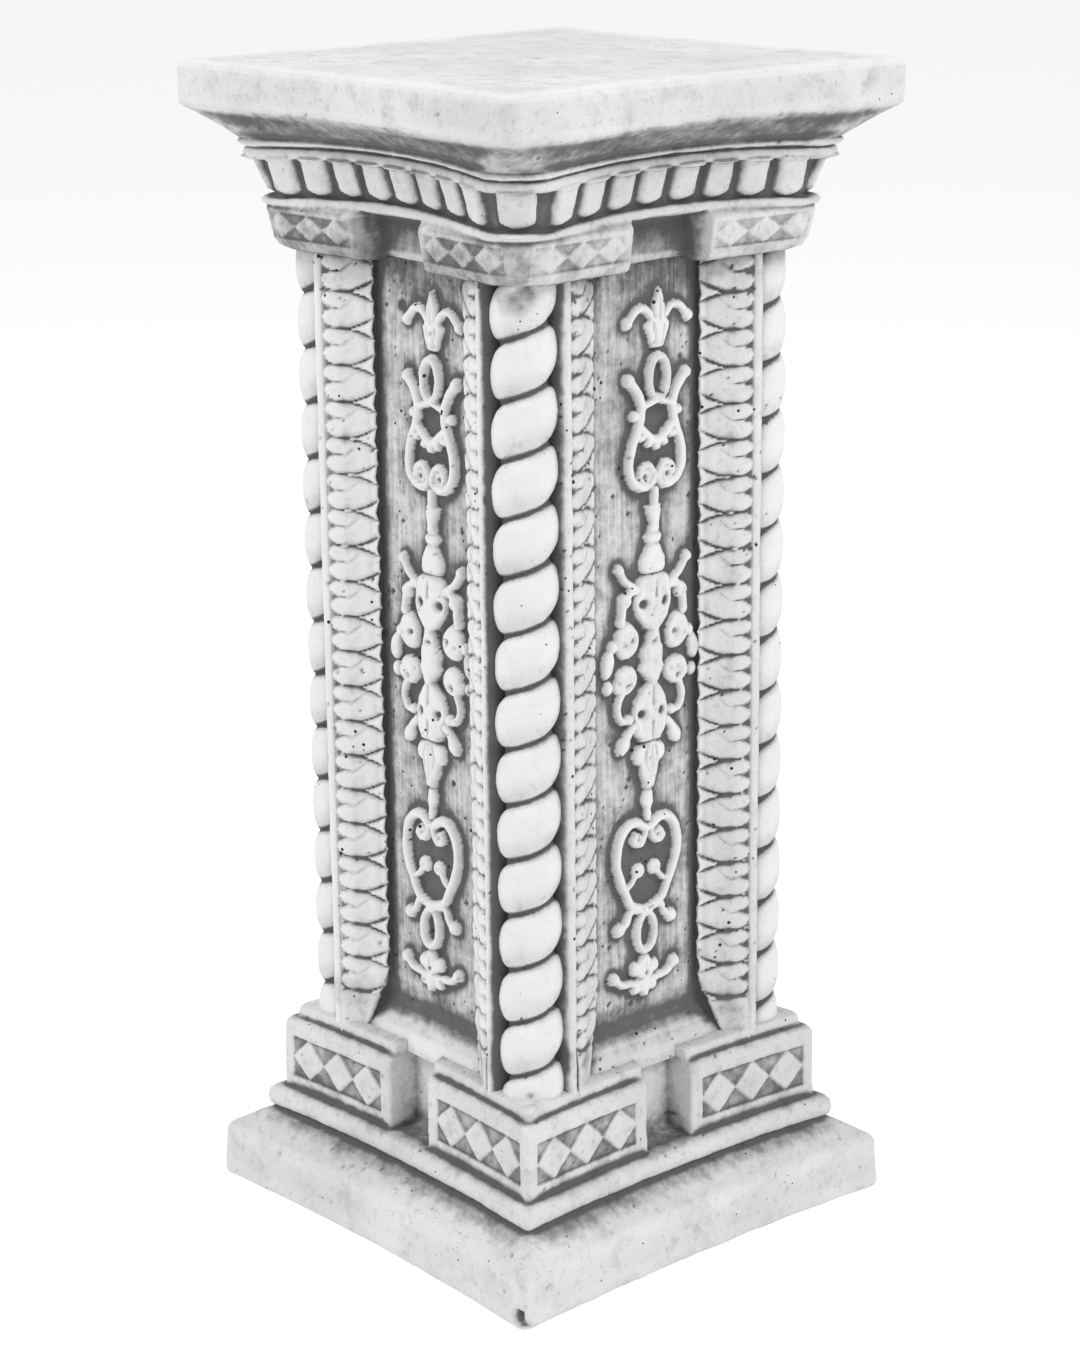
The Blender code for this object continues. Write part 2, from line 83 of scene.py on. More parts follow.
# Leaves along the splay. Their edge draws back over the last ones: height, how far
LEAF_PITCH = 21.65
LEAF_NOTCH_Z = 137.0
LEAF_TIP = -4.6
LEAF_NOTCH = -3.4
LEAF_GAP = 0.25
LEAF_HEIGHT = 3.0
LEAF_BED = 1.5
LEAF_TAPER = 6.8
LEAF_TAPER_START = 12.0
LEAF_TAPER_LENGTH = 16.0
LEAF_FOOT = ((113.0, 14.0), (125.0, 11.0), (140.0, 5.0), (150.0, 1.5), (170.0, 0.0))
LEAF_CLIMB = ((-5.0, 1.0), (2.0, 0.4), (10.0, 0.0), (20.0, 0.2), (29.0, 1.0))
LOBE_PLACE = 20.0
LOBE_REACH = 7.8
LOBE_HEIGHT = 1.02
DART_HEIGHT = 2.1
DART_HALF = 6.0
DART_END = 10.6
DART_LENGTH = 14.6
PLAIN_HEIGHT = 0.8

# Ropes
ROPE_CENTRE = 88.0
ROPE_RADIUS = 18.9
ROPE_PITCH = 33.3
ROPE_BULGE_Z = 147.5
ROPE_ROW = 1.4
ROPE_COLUMNS = 58
ROPE_FIRST_DEG = -65.0
ROPE_LAST_DEG = 155.0
ROPE_FRONT_DEG = 45.0
ROPE_GROOVE = 5.6
ROPE_ROUNDNESS = 2.1
ROPE_END_NARROWING = 0.25

# Ornament leans a little to one side as it rises
ORNAMENT_RELIEF = 0.74
ORNAMENT_LEAN = 0.029
ORNAMENT_PLUMB_Z = 200.0

# Loops of the ornament that get painted shade inside: from, fully, to, gone
LOOPS = ((468.0, 474.0, 508.0, 512.0), (206.0, 212.0, 246.0, 252.0))
LOOP_SIDE = (19.0, 13.0)
LOOP_SHADE = 0.4

# Wash and painted shade on the shaft: between which heights it sets in, and how much
SILL_WASH_TOP = (152.0, 138.0)
SILL_WASH_FOOT = (122.0, 132.0)
SILL_WASH = 0.4
# Painted shade under the capital
HEAD_SHADE_FROM = (560.0, 592.0)
HEAD_SHADE = 0.5
# Painted shade laid evenly over the shaft sides
SHAFT_SHADE = 0.07
STREAK_FROM = (132.0, 150.0)

# Wash and painted shade on the ropes
NICHE_FROM_DEG = (62.0, 96.0)
NICHE_ROPE_WASH = 0.9
GROOVE_FROM = (0.82, 1.0)
GROOVE_WASH = 0.22
# Painted shade on the lower side of each strand
LOW_SIDE_FROM = (-0.1, 0.95)
LOW_SIDE_SHADE = 0.32
# Painted shade on the ropes under the capital
ROPE_HEAD_FROM = (572.0, 590.0)
ROPE_HEAD_SHADE = 0.4
ROPE_WASH = 0.12

# Wear, with wash and painted shade where the surface lies below its own smoothed form, near by and
# farther off
NEAR_PASSES = 10
FAR_PASSES = 70
NEAR_HOLLOW = 0.5
FAR_HOLLOW = 2.2
NEAR_SHARE = 0.42
FAR_SHARE = 0.6
LUMPS = ((0.30, 21.0), (0.20, 8.0), (0.13, 3.3), (0.07, 1.6))
PIT_LEAST = 0.5
PIT_SPREAD = 1.2
PIT_DEPTH_SHARE = 1.1
PIT_DARKNESS = 0.9
MARK_WASH = 1.2

rng = np.random.default_rng(SEED)
LATTICE_SIZE = 48
LATTICE = rng.random((LATTICE_SIZE,) * 3)


def smooth(low, high, value):
    """0 below low, 1 above high, and a smooth step between."""
    x = np.clip((value - low) / (high - low), 0.0, 1.0)
    return x * x * (3 - 2 * x)


def noise(points, size):
    """Smooth random field from -1 to 1, with lumps of about that size."""
    place = points / size + 7.3
    cell = np.floor(place).astype(int)
    part = place - cell
    part = part * part * (3 - 2 * part)
    total = np.zeros(points.shape[:-1])
    for corner in np.ndindex(2, 2, 2):
        weight = np.ones(points.shape[:-1])
        index = []
        for axis in range(3):
            along = part[..., axis]
            weight = weight * (along if corner[axis] else 1 - along)
            index.append((cell[..., axis] + corner[axis]) % LATTICE_SIZE)
        total += weight * LATTICE[tuple(index)]
    return total * 2 - 1


def blurred(field, passes, wrap):
    """Field smoothed along both directions of its grid."""
    out = field
    for _ in range(passes):
        up = np.concatenate([out[:1], out[:-1]])
        down = np.concatenate([out[1:], out[-1:]])
        out = (up + 2 * out + down) / 4
        if wrap:
            left = np.roll(out, 1, axis=1)
            right = np.roll(out, -1, axis=1)
        else:
            left = np.concatenate([out[:, :1], out[:, :-1]], axis=1)
            right = np.concatenate([out[:, 1:], out[:, -1:]], axis=1)
        out = (left + 2 * out + right) / 4
    return out


def normals_of(points, wrap):
    """Unit normals of a grid of points."""
    along_rows = np.gradient(points, axis=0)
    if wrap:
        along_columns = (np.roll(points, -1, axis=1) - np.roll(points, 1, axis=1)) / 2
    else:
        along_columns = np.gradient(points, axis=1)
    normal = np.cross(along_columns, along_rows)
    length = np.linalg.norm(normal, axis=-1, keepdims=True)
    return normal / np.maximum(length, 1e-9)


# Damage seen on the cast: place, radius, depth, darkness
DENTS = [
    ((141.0, -147.0, 8.5), 5.5, 5.0, 3.0),
    ((145.0, -145.0, 3.0), 5.0, 3.5, 1.6),
    ((98.0, -104.0, 582.0), 11.0, 3.8, 0.5),
    ((103.0, -99.0, 588.0), 10.0, 3.0, 0.5),
    ((150.0, -45.0, 673.0), 8.0, 0.9, 0.45),
    ((150.0, -20.0, 676.0), 7.0, 0.9, 0.45),
    ((150.0, 8.0, 672.0), 8.0, 0.9, 0.4),
    ((149.0, 118.0, 688.0), 9.0, 1.2, 0.5),
    ((149.0, -147.0, 690.0), 9.0, 1.2, 0.25),
    ((147.0, -143.0, 679.0), 7.0, 1.0, 0.2),
    ((-20.0, -87.5, 565.0), 5.5, 2.0, 0.8),
    ((150.0, 60.0, 676.0), 10.0, 0.8, 0.2),
    ((78.0, -108.0, 470.0), 4.0, 2.2, 0.9),
    ((101.0, -101.0, 118.0), 3.0, 1.6, 0.7),
    ((117.0, 5.0, 98.0), 6.0, 1.0, 0.3),
]


def weather(points, wrap, rough, pit_count):
    """Roughen the surface and return its points and how dark the wash and painted shade lie on it."""
    normal = normals_of(points, wrap)
    near = blurred(points, NEAR_PASSES, wrap)
    far = blurred(points, FAR_PASSES, wrap)
    hollow_near = np.sum((near - points) * normal, axis=-1)
    hollow_far = np.sum((far - points) * normal, axis=-1)
    # Wash and painted shade in the hollows; raised parts fall below zero
    wash_and_shade = (NEAR_SHARE * np.clip(hollow_near / NEAR_HOLLOW, -0.6, 1.4)
            + FAR_SHARE * np.clip(hollow_far / FAR_HOLLOW, -0.5, 1.3))
    lift = rough * sum(height * noise(points, size) for height, size in LUMPS)
    flat = points.reshape(-1, 3)
    tree = kdtree.KDTree(len(flat))
    for index, place in enumerate(flat):
        tree.insert(place, index)
    tree.balance()
    dig = np.zeros(len(flat))
    dark = np.zeros(len(flat))
    for start in rng.integers(0, len(flat), pit_count):
        radius = PIT_LEAST + PIT_SPREAD * rng.random() ** 3
        for _, index, gap in tree.find_range(Vector(flat[start]), radius):
            share = 1 - (gap / radius) ** 2
            dig[index] = max(dig[index], radius * PIT_DEPTH_SHARE * share)
            dark[index] = max(dark[index], PIT_DARKNESS * share ** 0.5)
    for centre, radius, depth, darkness in DENTS:
        for _, index, gap in tree.find_range(Vector(centre), radius):
            share = smooth(0.0, 0.7, 1 - gap / radius)
            dig[index] = max(dig[index], depth * share)
            dark[index] = max(dark[index], darkness * share)
    shape = points.shape[:-1]
    lift = lift - dig.reshape(shape)
    wash_and_shade = np.clip(wash_and_shade, -0.5, 1.0) + MARK_WASH * dark.reshape(shape)
    moved = points + normal * lift[..., None]
    moved[..., :2] = np.clip(moved[..., :2], -BOX_HALF, BOX_HALF)
    moved[..., 2] = np.clip(moved[..., 2], 0.0, BOX_TOP)
    return moved, wash_and_shade


def add_grid(name, points, wash_and_shade, streak, wrap, pores):
    """Mesh object of a grid of points in millimetres; wash with painted shade, streaks and pores
    become attributes.
    """
    rows, columns = points.shape[:2]
    index = np.arange(rows * columns).reshape(rows, columns)
    if wrap:
        index = np.concatenate([index, index[:, :1]], axis=1)
    faces = np.stack([index[:-1, :-1], index[:-1, 1:], index[1:, 1:], index[1:, :-1]], axis=-1)
    faces = faces.reshape(-1, 4)
    mesh = bpy.data.meshes.new(name)
    mesh.vertices.add(rows * columns)
    mesh.vertices.foreach_set("co", (points * MM).astype(np.float32).ravel())
    mesh.loops.add(faces.size)
    mesh.loops.foreach_set("vertex_index", faces.astype(np.int32).ravel())
    mesh.polygons.add(len(faces))
    mesh.polygons.foreach_set("loop_start", np.arange(0, faces.size, 4, dtype=np.int32))
    mesh.polygons.foreach_set("use_smooth", np.ones(len(faces), dtype=bool))
    mesh.update(calc_edges=True)
    shades = (("wash_and_shade", wash_and_shade), ("streak", streak), ("pores", np.full(wash_and_shade.shape, pores)))
    for label, values in shades:
        layer = mesh.attributes.new(label, "FLOAT", "POINT")
        layer.data.foreach_set("value", np.asarray(values, dtype=np.float32).ravel())
    mesh.validate()
    item = bpy.data.objects.new(name, mesh)
    bpy.context.collection.objects.link(item)
    mesh.materials.append(stone)
    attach(item, "root")
    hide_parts("column")


def turned(points, quarter):
    """Side coordinates (s, depth, z) as world coordinates of that side."""
    s, depth, z = points[..., 0], points[..., 1], points[..., 2]
    x, y = depth, s
    for _ in range(quarter):
        x, y = -y, x
    return np.stack([x, y, z], axis=-1)


# Relief of a panel: u is the distance from the centre line, v the height of the mark

def curve(points, steps=6):
    """Smooth curve through points."""
    p = np.asarray(points, dtype=float)
    p = np.concatenate([2 * p[:1] - p[1:2], p, 2 * p[-1:] - p[-2:-1]])
    out = []
    for i in range(1, len(p) - 2):
        for t in np.arange(steps) / steps:
            out.append(0.5 * (2 * p[i] + (p[i + 1] - p[i - 1]) * t
                              + (2 * p[i - 1] - 5 * p[i] + 4 * p[i + 1] - p[i + 2]) * t ** 2
                              + (3 * p[i] - p[i - 1] - 3 * p[i + 1] + p[i + 2]) * t ** 3))
    out.append(p[-2])
    return np.array(out)


def distance(u, v, route):
    """Distance to a polyline."""
    best = np.full(u.shape, 1e9)
    for (u0, v0), (u1, v1) in zip(route[:-1], route[1:]):
        du, dv = u1 - u0, v1 - v0
        size = max(du * du + dv * dv, 1e-9)
        t = np.clip(((u - u0) * du + (v - v0) * dv) / size, 0, 1)
        best = np.minimum(best, np.hypot(u - u0 - t * du, v - v0 - t * dv))
    return best


def strap(u, v, points, width, height):
    """Rounded raised strap."""
    q = distance(u, v, curve(points)) / (width / 2)
    return height * np.sqrt(np.clip(1 - q ** 2.4, 0, 1))


def boss(u, v, at_u, at_v, radius_u, radius_v, tilt, height):
    """Rounded oval boss."""
    turn = math.radians(tilt)
    a = (u - at_u) * math.cos(turn) + (v - at_v) * math.sin(turn)
    b = (v - at_v) * math.cos(turn) - (u - at_u) * math.sin(turn)
    q = np.hypot(a / radius_u, b / radius_v)
    return height * np.sqrt(np.clip(1 - q ** 2.6, 0, 1))


def spindle(u, v, outline, height):
    """Turned or leaf-like member with a half width at each height."""
    levels = np.array([level for level, _ in outline])
    halves = np.array([half for _, half in outline])
    order = np.argsort(levels)
    half = np.interp(v, levels[order], halves[order], left=0.0, right=0.0)
    inside = half > 0.05
    q = np.where(inside, np.abs(u) / np.maximum(half, 0.05), 9.0)
    end = np.minimum(v - levels.min(), levels.max() - v)
    return height * np.sqrt(np.clip(1 - q ** 2.6, 0, 1)) * smooth(-0.6, 1.6, end)


def groove(u, v, points, width, depth):
    """Cut line."""
    return depth * np.exp(-(distance(u, v, curve(points)) / (width / 2)) ** 2)


def oval_ring(at_v, radius_u, radius_v):
    """Half of an oval about the centre line."""
    angles = np.linspace(-90, 90, 9)
    return [(radius_u * math.cos(math.radians(a)), at_v + radius_v * math.sin(math.radians(a)))
            for a in angles]


# Raised straps: points, width, height
STRAPS = [
    ([(3, 556), (6, 562), (11, 566), (17, 565), (24, 558)], 5.0, 5.5),
    (oval_ring(526.0, 6.9, 12.2), 4.9, 8.5),
    ([(22, 526), (16.5, 520), (12.5, 512), (12.5, 504), (15, 496), (18.5, 488), (20.2, 480),
      (19.8, 473), (17, 467), (12, 463.5), (7, 462.8)], 6.4, 7.5),
    ([(7, 462.8), (2.5, 465.5), (2.2, 471), (6, 476), (11.5, 474.5), (12.5, 469.5)], 4.4, 8.0),
    ([(13, 509), (7, 511), (0, 513)], 4.6, 7.5),
    ([(14, 499), (9, 495), (4, 490.5), (0, 489)], 6.0, 7.0),
    ([(9, 403), (15, 405), (22, 410), (27, 418)], 5.0, 6.5),
    ([(13, 403), (19, 402), (23, 397), (24.5, 386)], 5.6, 7.5),
    ([(22, 344), (25, 338), (25.5, 332), (22, 326), (17, 326)], 4.8, 6.5),
    ([(13, 321), (18, 316), (22, 308)], 6.5, 6.5),
    ([(2, 257), (8, 261), (15, 261), (21, 256), (24, 247), (24, 238), (21, 228), (16, 218),
      (12.5, 211), (6, 207.5), (0, 206)], 6.2, 7.5),
    ([(2, 257), (3, 252), (7, 247.5), (11.5, 250), (10, 254)], 3.8, 7.5),
    ([(17, 221), (12, 224), (8, 229)], 4.0, 6.0),
    (oval_ring(192.0, 7.1, 11.8), 4.9, 8.0),
    ([(6, 206), (12, 207), (16, 200), (21, 197)], 5.4, 6.5),
    ([(5, 160), (11, 161), (18, 162), (23, 166)], 5.2, 6.5),
]

# Bosses: place, radii, tilt, height
BOSSES = [
    (23.5, 558.5, 3.6, 3.6, 0, 6.0), (22, 526, 4.0, 4.0, 0, 8.0), (8.5, 469, 7.2, 7.2, 0, 6.5),
    (6, 488, 2.8, 2.8, 0, 7.5), (0, 486.5, 3.2, 3.4, 0, 8.0), (12, 492, 3.2, 3.0, 0, 7.5),
    (17, 505, 3.4, 3.4, 0, 6.5), (26.5, 417, 3.4, 3.6, 0, 7.5), (22, 398, 5.0, 5.2, 0, 8.5),
    (24.5, 386, 3.6, 4.0, 0, 7.0), (19.5, 374, 10.4, 11.6, 0, 9.0), (33.5, 362, 5.0, 9.0, 10, 6.5),
    (30, 372, 4.0, 4.2, 0, 6.0), (20, 350, 10.0, 9.0, -20, 8.5), (33, 348, 3.6, 4.6, 0, 5.5),
    (17, 326, 3.6, 3.6, 0, 7.5), (20.5, 311, 4.6, 6.5, 30, 7.0), (7.5, 303, 5.2, 7.0, 12, 7.5),
    (8, 251, 4.4, 4.4, 0, 6.5), (6.5, 231, 5.2, 5.0, 0, 7.0), (21, 197, 4.6, 4.6, 0, 7.5),
    (24, 167, 4.1, 4.1, 0, 7.5), (7, 169, 4.6, 5.0, 0, 7.0), (6.5, 157, 4.2, 4.2, 0, 6.5),
]

# Members on the centre line: height of the mark and half width there, then relief
SPINDLES = [
    ([(578, 0.3), (573, 3), (568, 5.2), (563, 4.8), (557, 3)], 6.5),
    ([(561, 3), (557, 9.4), (555, 9.8), (551, 8), (546, 6), (542.5, 4.5)], 6.0),
    ([(463, 2.6), (452, 2.9), (451, 6.6), (446, 5.2), (441, 3.6), (437, 4.6), (433, 7.2),
      (429.5, 5.6), (426, 6.6), (420, 10.2), (415, 10.2), (410, 8)], 7.0),
    ([(412, 8), (408, 13), (402, 15.4), (392, 16.2), (385, 14), (377, 6)], 9.0),
    ([(381, 1), (378, 4), (375, 5), (370, 6.5), (367, 9), (362, 9.2), (359, 8.4), (355, 10.2),
      (350, 6.5), (343, 0.8)], 10.0),
    ([(347, 3), (342, 8.5), (336, 12.6), (328, 15.2), (322, 14.6), (315, 13), (310, 8)], 9.0),
    ([(312, 7), (307, 9), (303, 10), (297, 8.6), (290, 7), (285, 4.5), (280, 3.4)], 8.0),
    ([(281, 2.8), (277, 4.4), (272, 5.0), (268.5, 2.4), (265, 3.2), (260, 1.6)], 6.0),
    ([(178, 2.5), (171, 7), (165, 9.2), (160, 7), (156, 5), (150.5, 1)], 7.5),
]

# Cut lines: points, width, depth
GROOVES = [
    ([(0, 574), (0, 559)], 1.6, 1.8), ([(4, 556), (2.5, 546)], 1.6, 1.8),
    ([(0, 450.5), (8, 450)], 1.8, 2.2), ([(0, 435.8), (8, 435.8)], 1.8, 2.2),
    ([(0, 429), (7, 428.5)], 1.8, 2.0), ([(0, 411), (10, 410.5)], 1.8, 2.4),
    ([(16, 396), (13, 387), (8, 381), (4, 378)], 2.2, 3.4), ([(0, 408), (0, 398)], 1.6, 1.6),
    ([(10.5, 368), (11, 378), (17, 386)], 2.2, 3.2), ([(11, 358), (14, 360), (24, 361)], 2.4, 3.6),
    ([(28, 367), (29, 360), (28, 352)], 2.2, 3.0), ([(0, 344), (0, 333)], 1.8, 2.2),
    ([(0, 323), (0, 312)], 1.6, 1.8), ([(15, 342), (11, 346), (6, 349)], 2.2, 3.0),
    ([(0, 311), (9, 309)], 2.0, 2.6), ([(0, 308), (0, 286)], 1.6, 1.6),
    ([(2.5, 309), (4.5, 302), (3, 293)], 1.6, 1.8), ([(0, 281.5), (6, 281.5)], 1.8, 2.2),
    ([(0, 174), (0, 169)], 1.6, 1.6), ([(3.5, 163), (8, 164.5)], 1.6, 2.0),
    ([(8, 312.5), (14, 316)], 1.8, 2.2),
]

# Round holes: place, radius, depth
HOLES = [
    (8.2, 394, 3.2, 4.5), (16.5, 374, 2.4, 4.0), (1, 371, 1.7, 3.5), (20, 347, 2.2, 4.0),
    (7.7, 328, 3.0, 4.5), (8.5, 469, 1.8, 3.0), (8, 251, 1.5, 3.0), (6.5, 231, 1.5, 2.5),
    (0, 166, 1.6, 3.5), (2.8, 546, 1.4, 2.5), (24, 372, 1.4, 2.0), (14, 352, 1.3, 2.0),
    (33.5, 360, 1.4, 1.6), (0, 486.5, 1.0, 1.5),
]


def ornament(s, z):
    """Height of the panel's relief."""
    u = np.abs(s - ORNAMENT_LEAN * (z - ORNAMENT_PLUMB_Z))
    high = np.zeros(u.shape)
    for points, width, height in STRAPS:
        high = np.maximum(high, strap(u, z, points, width, height))
    for place in BOSSES:
        high = np.maximum(high, boss(u, z, *place))
    for outline, height in SPINDLES:
        high = np.maximum(high, spindle(u, z, outline, height))
    cut = np.zeros(u.shape)
    for points, width, depth in GROOVES:
        cut = np.maximum(cut, groove(u, z, points, width, depth))
    for at_u, at_z, radius, depth in HOLES:
        cut = np.maximum(cut, depth * np.exp(-(np.hypot(u - at_u, z - at_z) / radius) ** 4))
    return ORNAMENT_RELIEF * np.maximum(high - cut * smooth(0.5, 4.0, high), 0.0)


def panel_depth(z):
    """Depth of the bare panel, with the sill at its foot."""
    return np.interp(z, *zip(*SILL))


def leaf_edge(z):
    """Place of the leaf edge across the splay; less is nearer to the panel's middle."""
    phase = (z - LEAF_NOTCH_Z) / LEAF_PITCH
    lobe = np.abs(np.sin(math.pi * phase)) ** 0.6
    edge = LEAF_NOTCH + (LEAF_TIP - LEAF_NOTCH) * lobe
    return edge + np.interp(z, *zip(*LEAF_FOOT))


def leaf_relief(t, z):
    """Relief of the leaves on the splay; t is the place across it, from the rim outward.

    Each leaf is a broad oval that ends in two small lobes beside the fillet; darts fill the
    corners that the ovals leave along the rim.
    """
    turn = (z - LEAF_NOTCH_Z) / LEAF_PITCH
    half = LEAF_PITCH / 2 - LEAF_GAP
    total = np.zeros(np.shape(t + z))
    for shift in (-1, 0, 1):
        middle = LEAF_NOTCH_Z + (np.floor(turn) + 0.5 + shift) * LEAF_PITCH
        climb = np.interp(t, *zip(*LEAF_CLIMB))
        w = z - middle - climb
        taper = np.clip(LEAF_TAPER_START - t, 0, LEAF_TAPER_LENGTH) / LEAF_TAPER_LENGTH
        reach = half - LEAF_TAPER * taper ** 1.4
        body = np.sqrt(np.clip(1 - (np.abs(w) / reach) ** 3.4, 0, 1))
        body = body * (0.55 + 0.45 * smooth(-4.0, 3.0, t))
        body = body * smooth(25.0, 20.5, t)
        for side in (-1, 1):
            lobe = np.hypot((t - LOBE_PLACE) / LOBE_REACH, (w - side * half * 0.5) / (half * 0.52))
            body = np.maximum(body, LOBE_HEIGHT * np.sqrt(np.clip(1 - lobe ** 3, 0, 1)))
        vein = np.exp(-((w - 1.0 - 2.0 * smooth(21.0, 28.0, t)) / 0.75) ** 2)
        vein = vein * smooth(14.0, 20.0, t)
        crease = np.exp(-((w - 3.6 + 0.8 * (t - 12.0)) / 0.9) ** 2)
        crease = crease * smooth(6.0, 9.0, t) * smooth(18.0, 14.0, t)
        flank = np.clip(np.abs(w) / half, 0, 1)
        body = body * (LEAF_HEIGHT - 1.5 * vein - 0.6 * crease - 0.35 * flank)
        start = np.abs(z - middle + LEAF_PITCH / 2 - climb)
        wedge = DART_HALF * (np.clip(DART_END - t, 0, 16) / DART_LENGTH) ** 1.4
        dart = DART_HEIGHT * np.sqrt(np.clip(1 - (start / np.maximum(wedge, 0.05)) ** 3, 0, 1))
        total = np.maximum(total, np.maximum(body, dart))
    plain = smooth(146.0, 126.0, z)
    return (total - LEAF_BED) * (1 - plain) + PLAIN_HEIGHT * plain


def half_side(sign, z):
    """Half a shaft side from the panel's middle to the niche: points, and the wash and painted shade
    of each column.
    """
    rows = len(z)
    edge = leaf_edge(z)
    cos_a = math.cos(math.radians(SPLAY_DEG))
    sin_a = math.sin(math.radians(SPLAY_DEG))
    bare = panel_depth(z)
    foot_s = np.maximum(WALL_FOOT_S, RIM_S + edge + 1.0)
    columns = []
    extra = []
    for part in np.linspace(0, 1, PANEL_COLUMNS):
        s = part * foot_s
        columns.append((s, bare + ornament(sign * s, z)))
        # Wash and painted shade on the panel towards the wall's foot
        extra.append(PANEL_EDGE_WASH_AND_SHADE * smooth(PANEL_EDGE_START, 1.0, part))
    rim_s = RIM_S + edge
    rim_depth = np.maximum(RIM_DEPTH + 0.4 + 0.25 * edge + leaf_relief(edge, z), bare + 0.4)
    for part in WALL_PARTS:
        lean = part ** 1.5
        columns.append((foot_s + (rim_s - foot_s) * lean, bare + (rim_depth - bare) * part))
        # Painted shade on the wall, darkest at its foot
        extra.append(1.0 - WALL_SHADE_LOSS * part)
    for part in np.linspace(0, 1, SPLAY_COLUMNS):
        t = edge + (SPLAY_WIDTH - edge) * part
        relief = leaf_relief(t, z) - 0.7 * (1 - smooth(0.0, 0.07, part))
        tuck = np.clip(-t, 0, 6.0) * 0.25
        s = RIM_S + t * cos_a - relief * sin_a
        s = np.where(t < 0, RIM_S + t - relief * sin_a * 0.4, s)
        depth = RIM_DEPTH + np.maximum(t, 0) * sin_a - tuck + relief * cos_a + 0.4
        columns.append((np.maximum(s, rim_s), np.maximum(depth, bare + 0.3)))
        extra.append(0.0)
    for s, depth, dark in FILLET_COLUMNS:
        columns.append((np.full(rows, s), np.full(rows, depth)))
        extra.append(dark)
    s = np.stack([sign * column[0] for column in columns], axis=1)
    depth = np.stack([column[1] for column in columns], axis=1)
    points = np.stack([s, depth, np.repeat(z[:, None], len(columns), axis=1)], axis=-1)
    return points, np.array(extra)


def shaft_side():
    """A whole side of the shaft: points, where the brush streaks lie, and the wash and painted shade
    that are set one by one.
    """
    z = np.arange(SHAFT_LOW, SHAFT_HIGH, SHAFT_ROW)
    left, extra = half_side(-1, z)
    right, _ = half_side(1, z)
    side = np.concatenate([left[:, :0:-1], right], axis=1)
    dark = np.concatenate([extra[:0:-1], extra])[None, :] + np.zeros(side.shape[:2])
    height = side[..., 2]
    dark = dark + SILL_WASH * smooth(*SILL_WASH_TOP, height) * smooth(*SILL_WASH_FOOT, height)
    # Painted shade under the capital
    dark = dark + HEAD_SHADE * smooth(*HEAD_SHADE_FROM, height)
    across = np.abs(side[..., 0] - ORNAMENT_LEAN * (height - ORNAMENT_PLUMB_Z))
    inside = smooth(*LOOP_SIDE, across) * (side[..., 1] < panel_depth(height) + 1.5)
    in_loops = sum(smooth(start, full, height) * smooth(gone, fading, height)
                   for start, full, fading, gone in LOOPS)
    # Painted shade inside the ornament's loops, and over the whole shaft
    dark = dark + LOOP_SHADE * inside * in_loops + SHAFT_SHADE
    middle = left.shape[1] - 1
    on_panel = np.zeros(side.shape[1])
    on_panel[middle - PANEL_COLUMNS + 1:middle + PANEL_COLUMNS] = 1.0
    low = side[..., 1] < panel_depth(height) + 1.0
    return side, on_panel[None, :] * low * smooth(*STREAK_FROM, height), dark


def rope():
    """Rope of one corner, seen from outside: points, and the wash kept in its grooves and niche, with
    painted shade on the low side of each strand and under the capital.
    """
    z = np.arange(SHAFT_LOW - 1.0, SHAFT_HIGH, ROPE_ROW)
    angle = np.radians(np.linspace(ROPE_FIRST_DEG, ROPE_LAST_DEG, ROPE_COLUMNS))
    turn = (z[:, None] - ROPE_BULGE_Z) / ROPE_PITCH - (angle[None, :] - math.pi / 4) / math.tau
    low_side = (np.round(turn) - turn) * 2
    off = np.abs(low_side)
    sweep = np.abs(np.degrees(angle) - ROPE_FRONT_DEG)[None, :]
    off = off / (1.0 - ROPE_END_NARROWING * np.clip(sweep / 90.0, 0, 1) ** 2.5)
    radius = ROPE_RADIUS - ROPE_GROOVE * (1 - np.sqrt(np.clip(1 - off ** ROPE_ROUNDNESS, 0, 1)))
    s = ROPE_CENTRE + radius * np.sin(angle)[None, :]
    depth = ROPE_CENTRE + radius * np.cos(angle)[None, :]
    side = np.stack([s, depth, np.repeat(z[:, None], ROPE_COLUMNS, axis=1)], axis=-1)
    dark = smooth(*NICHE_FROM_DEG, sweep) * NICHE_ROPE_WASH + GROOVE_WASH * smooth(*GROOVE_FROM, off)
    dark = dark + ROPE_WASH
    # Painted shade on the lower side of each strand
    dark = dark + LOW_SIDE_SHADE * smooth(*LOW_SIDE_FROM, low_side)
    # Painted shade under the capital
    dark = dark + ROPE_HEAD_SHADE * smooth(*ROPE_HEAD_FROM, z)[:, None]
    return side, dark


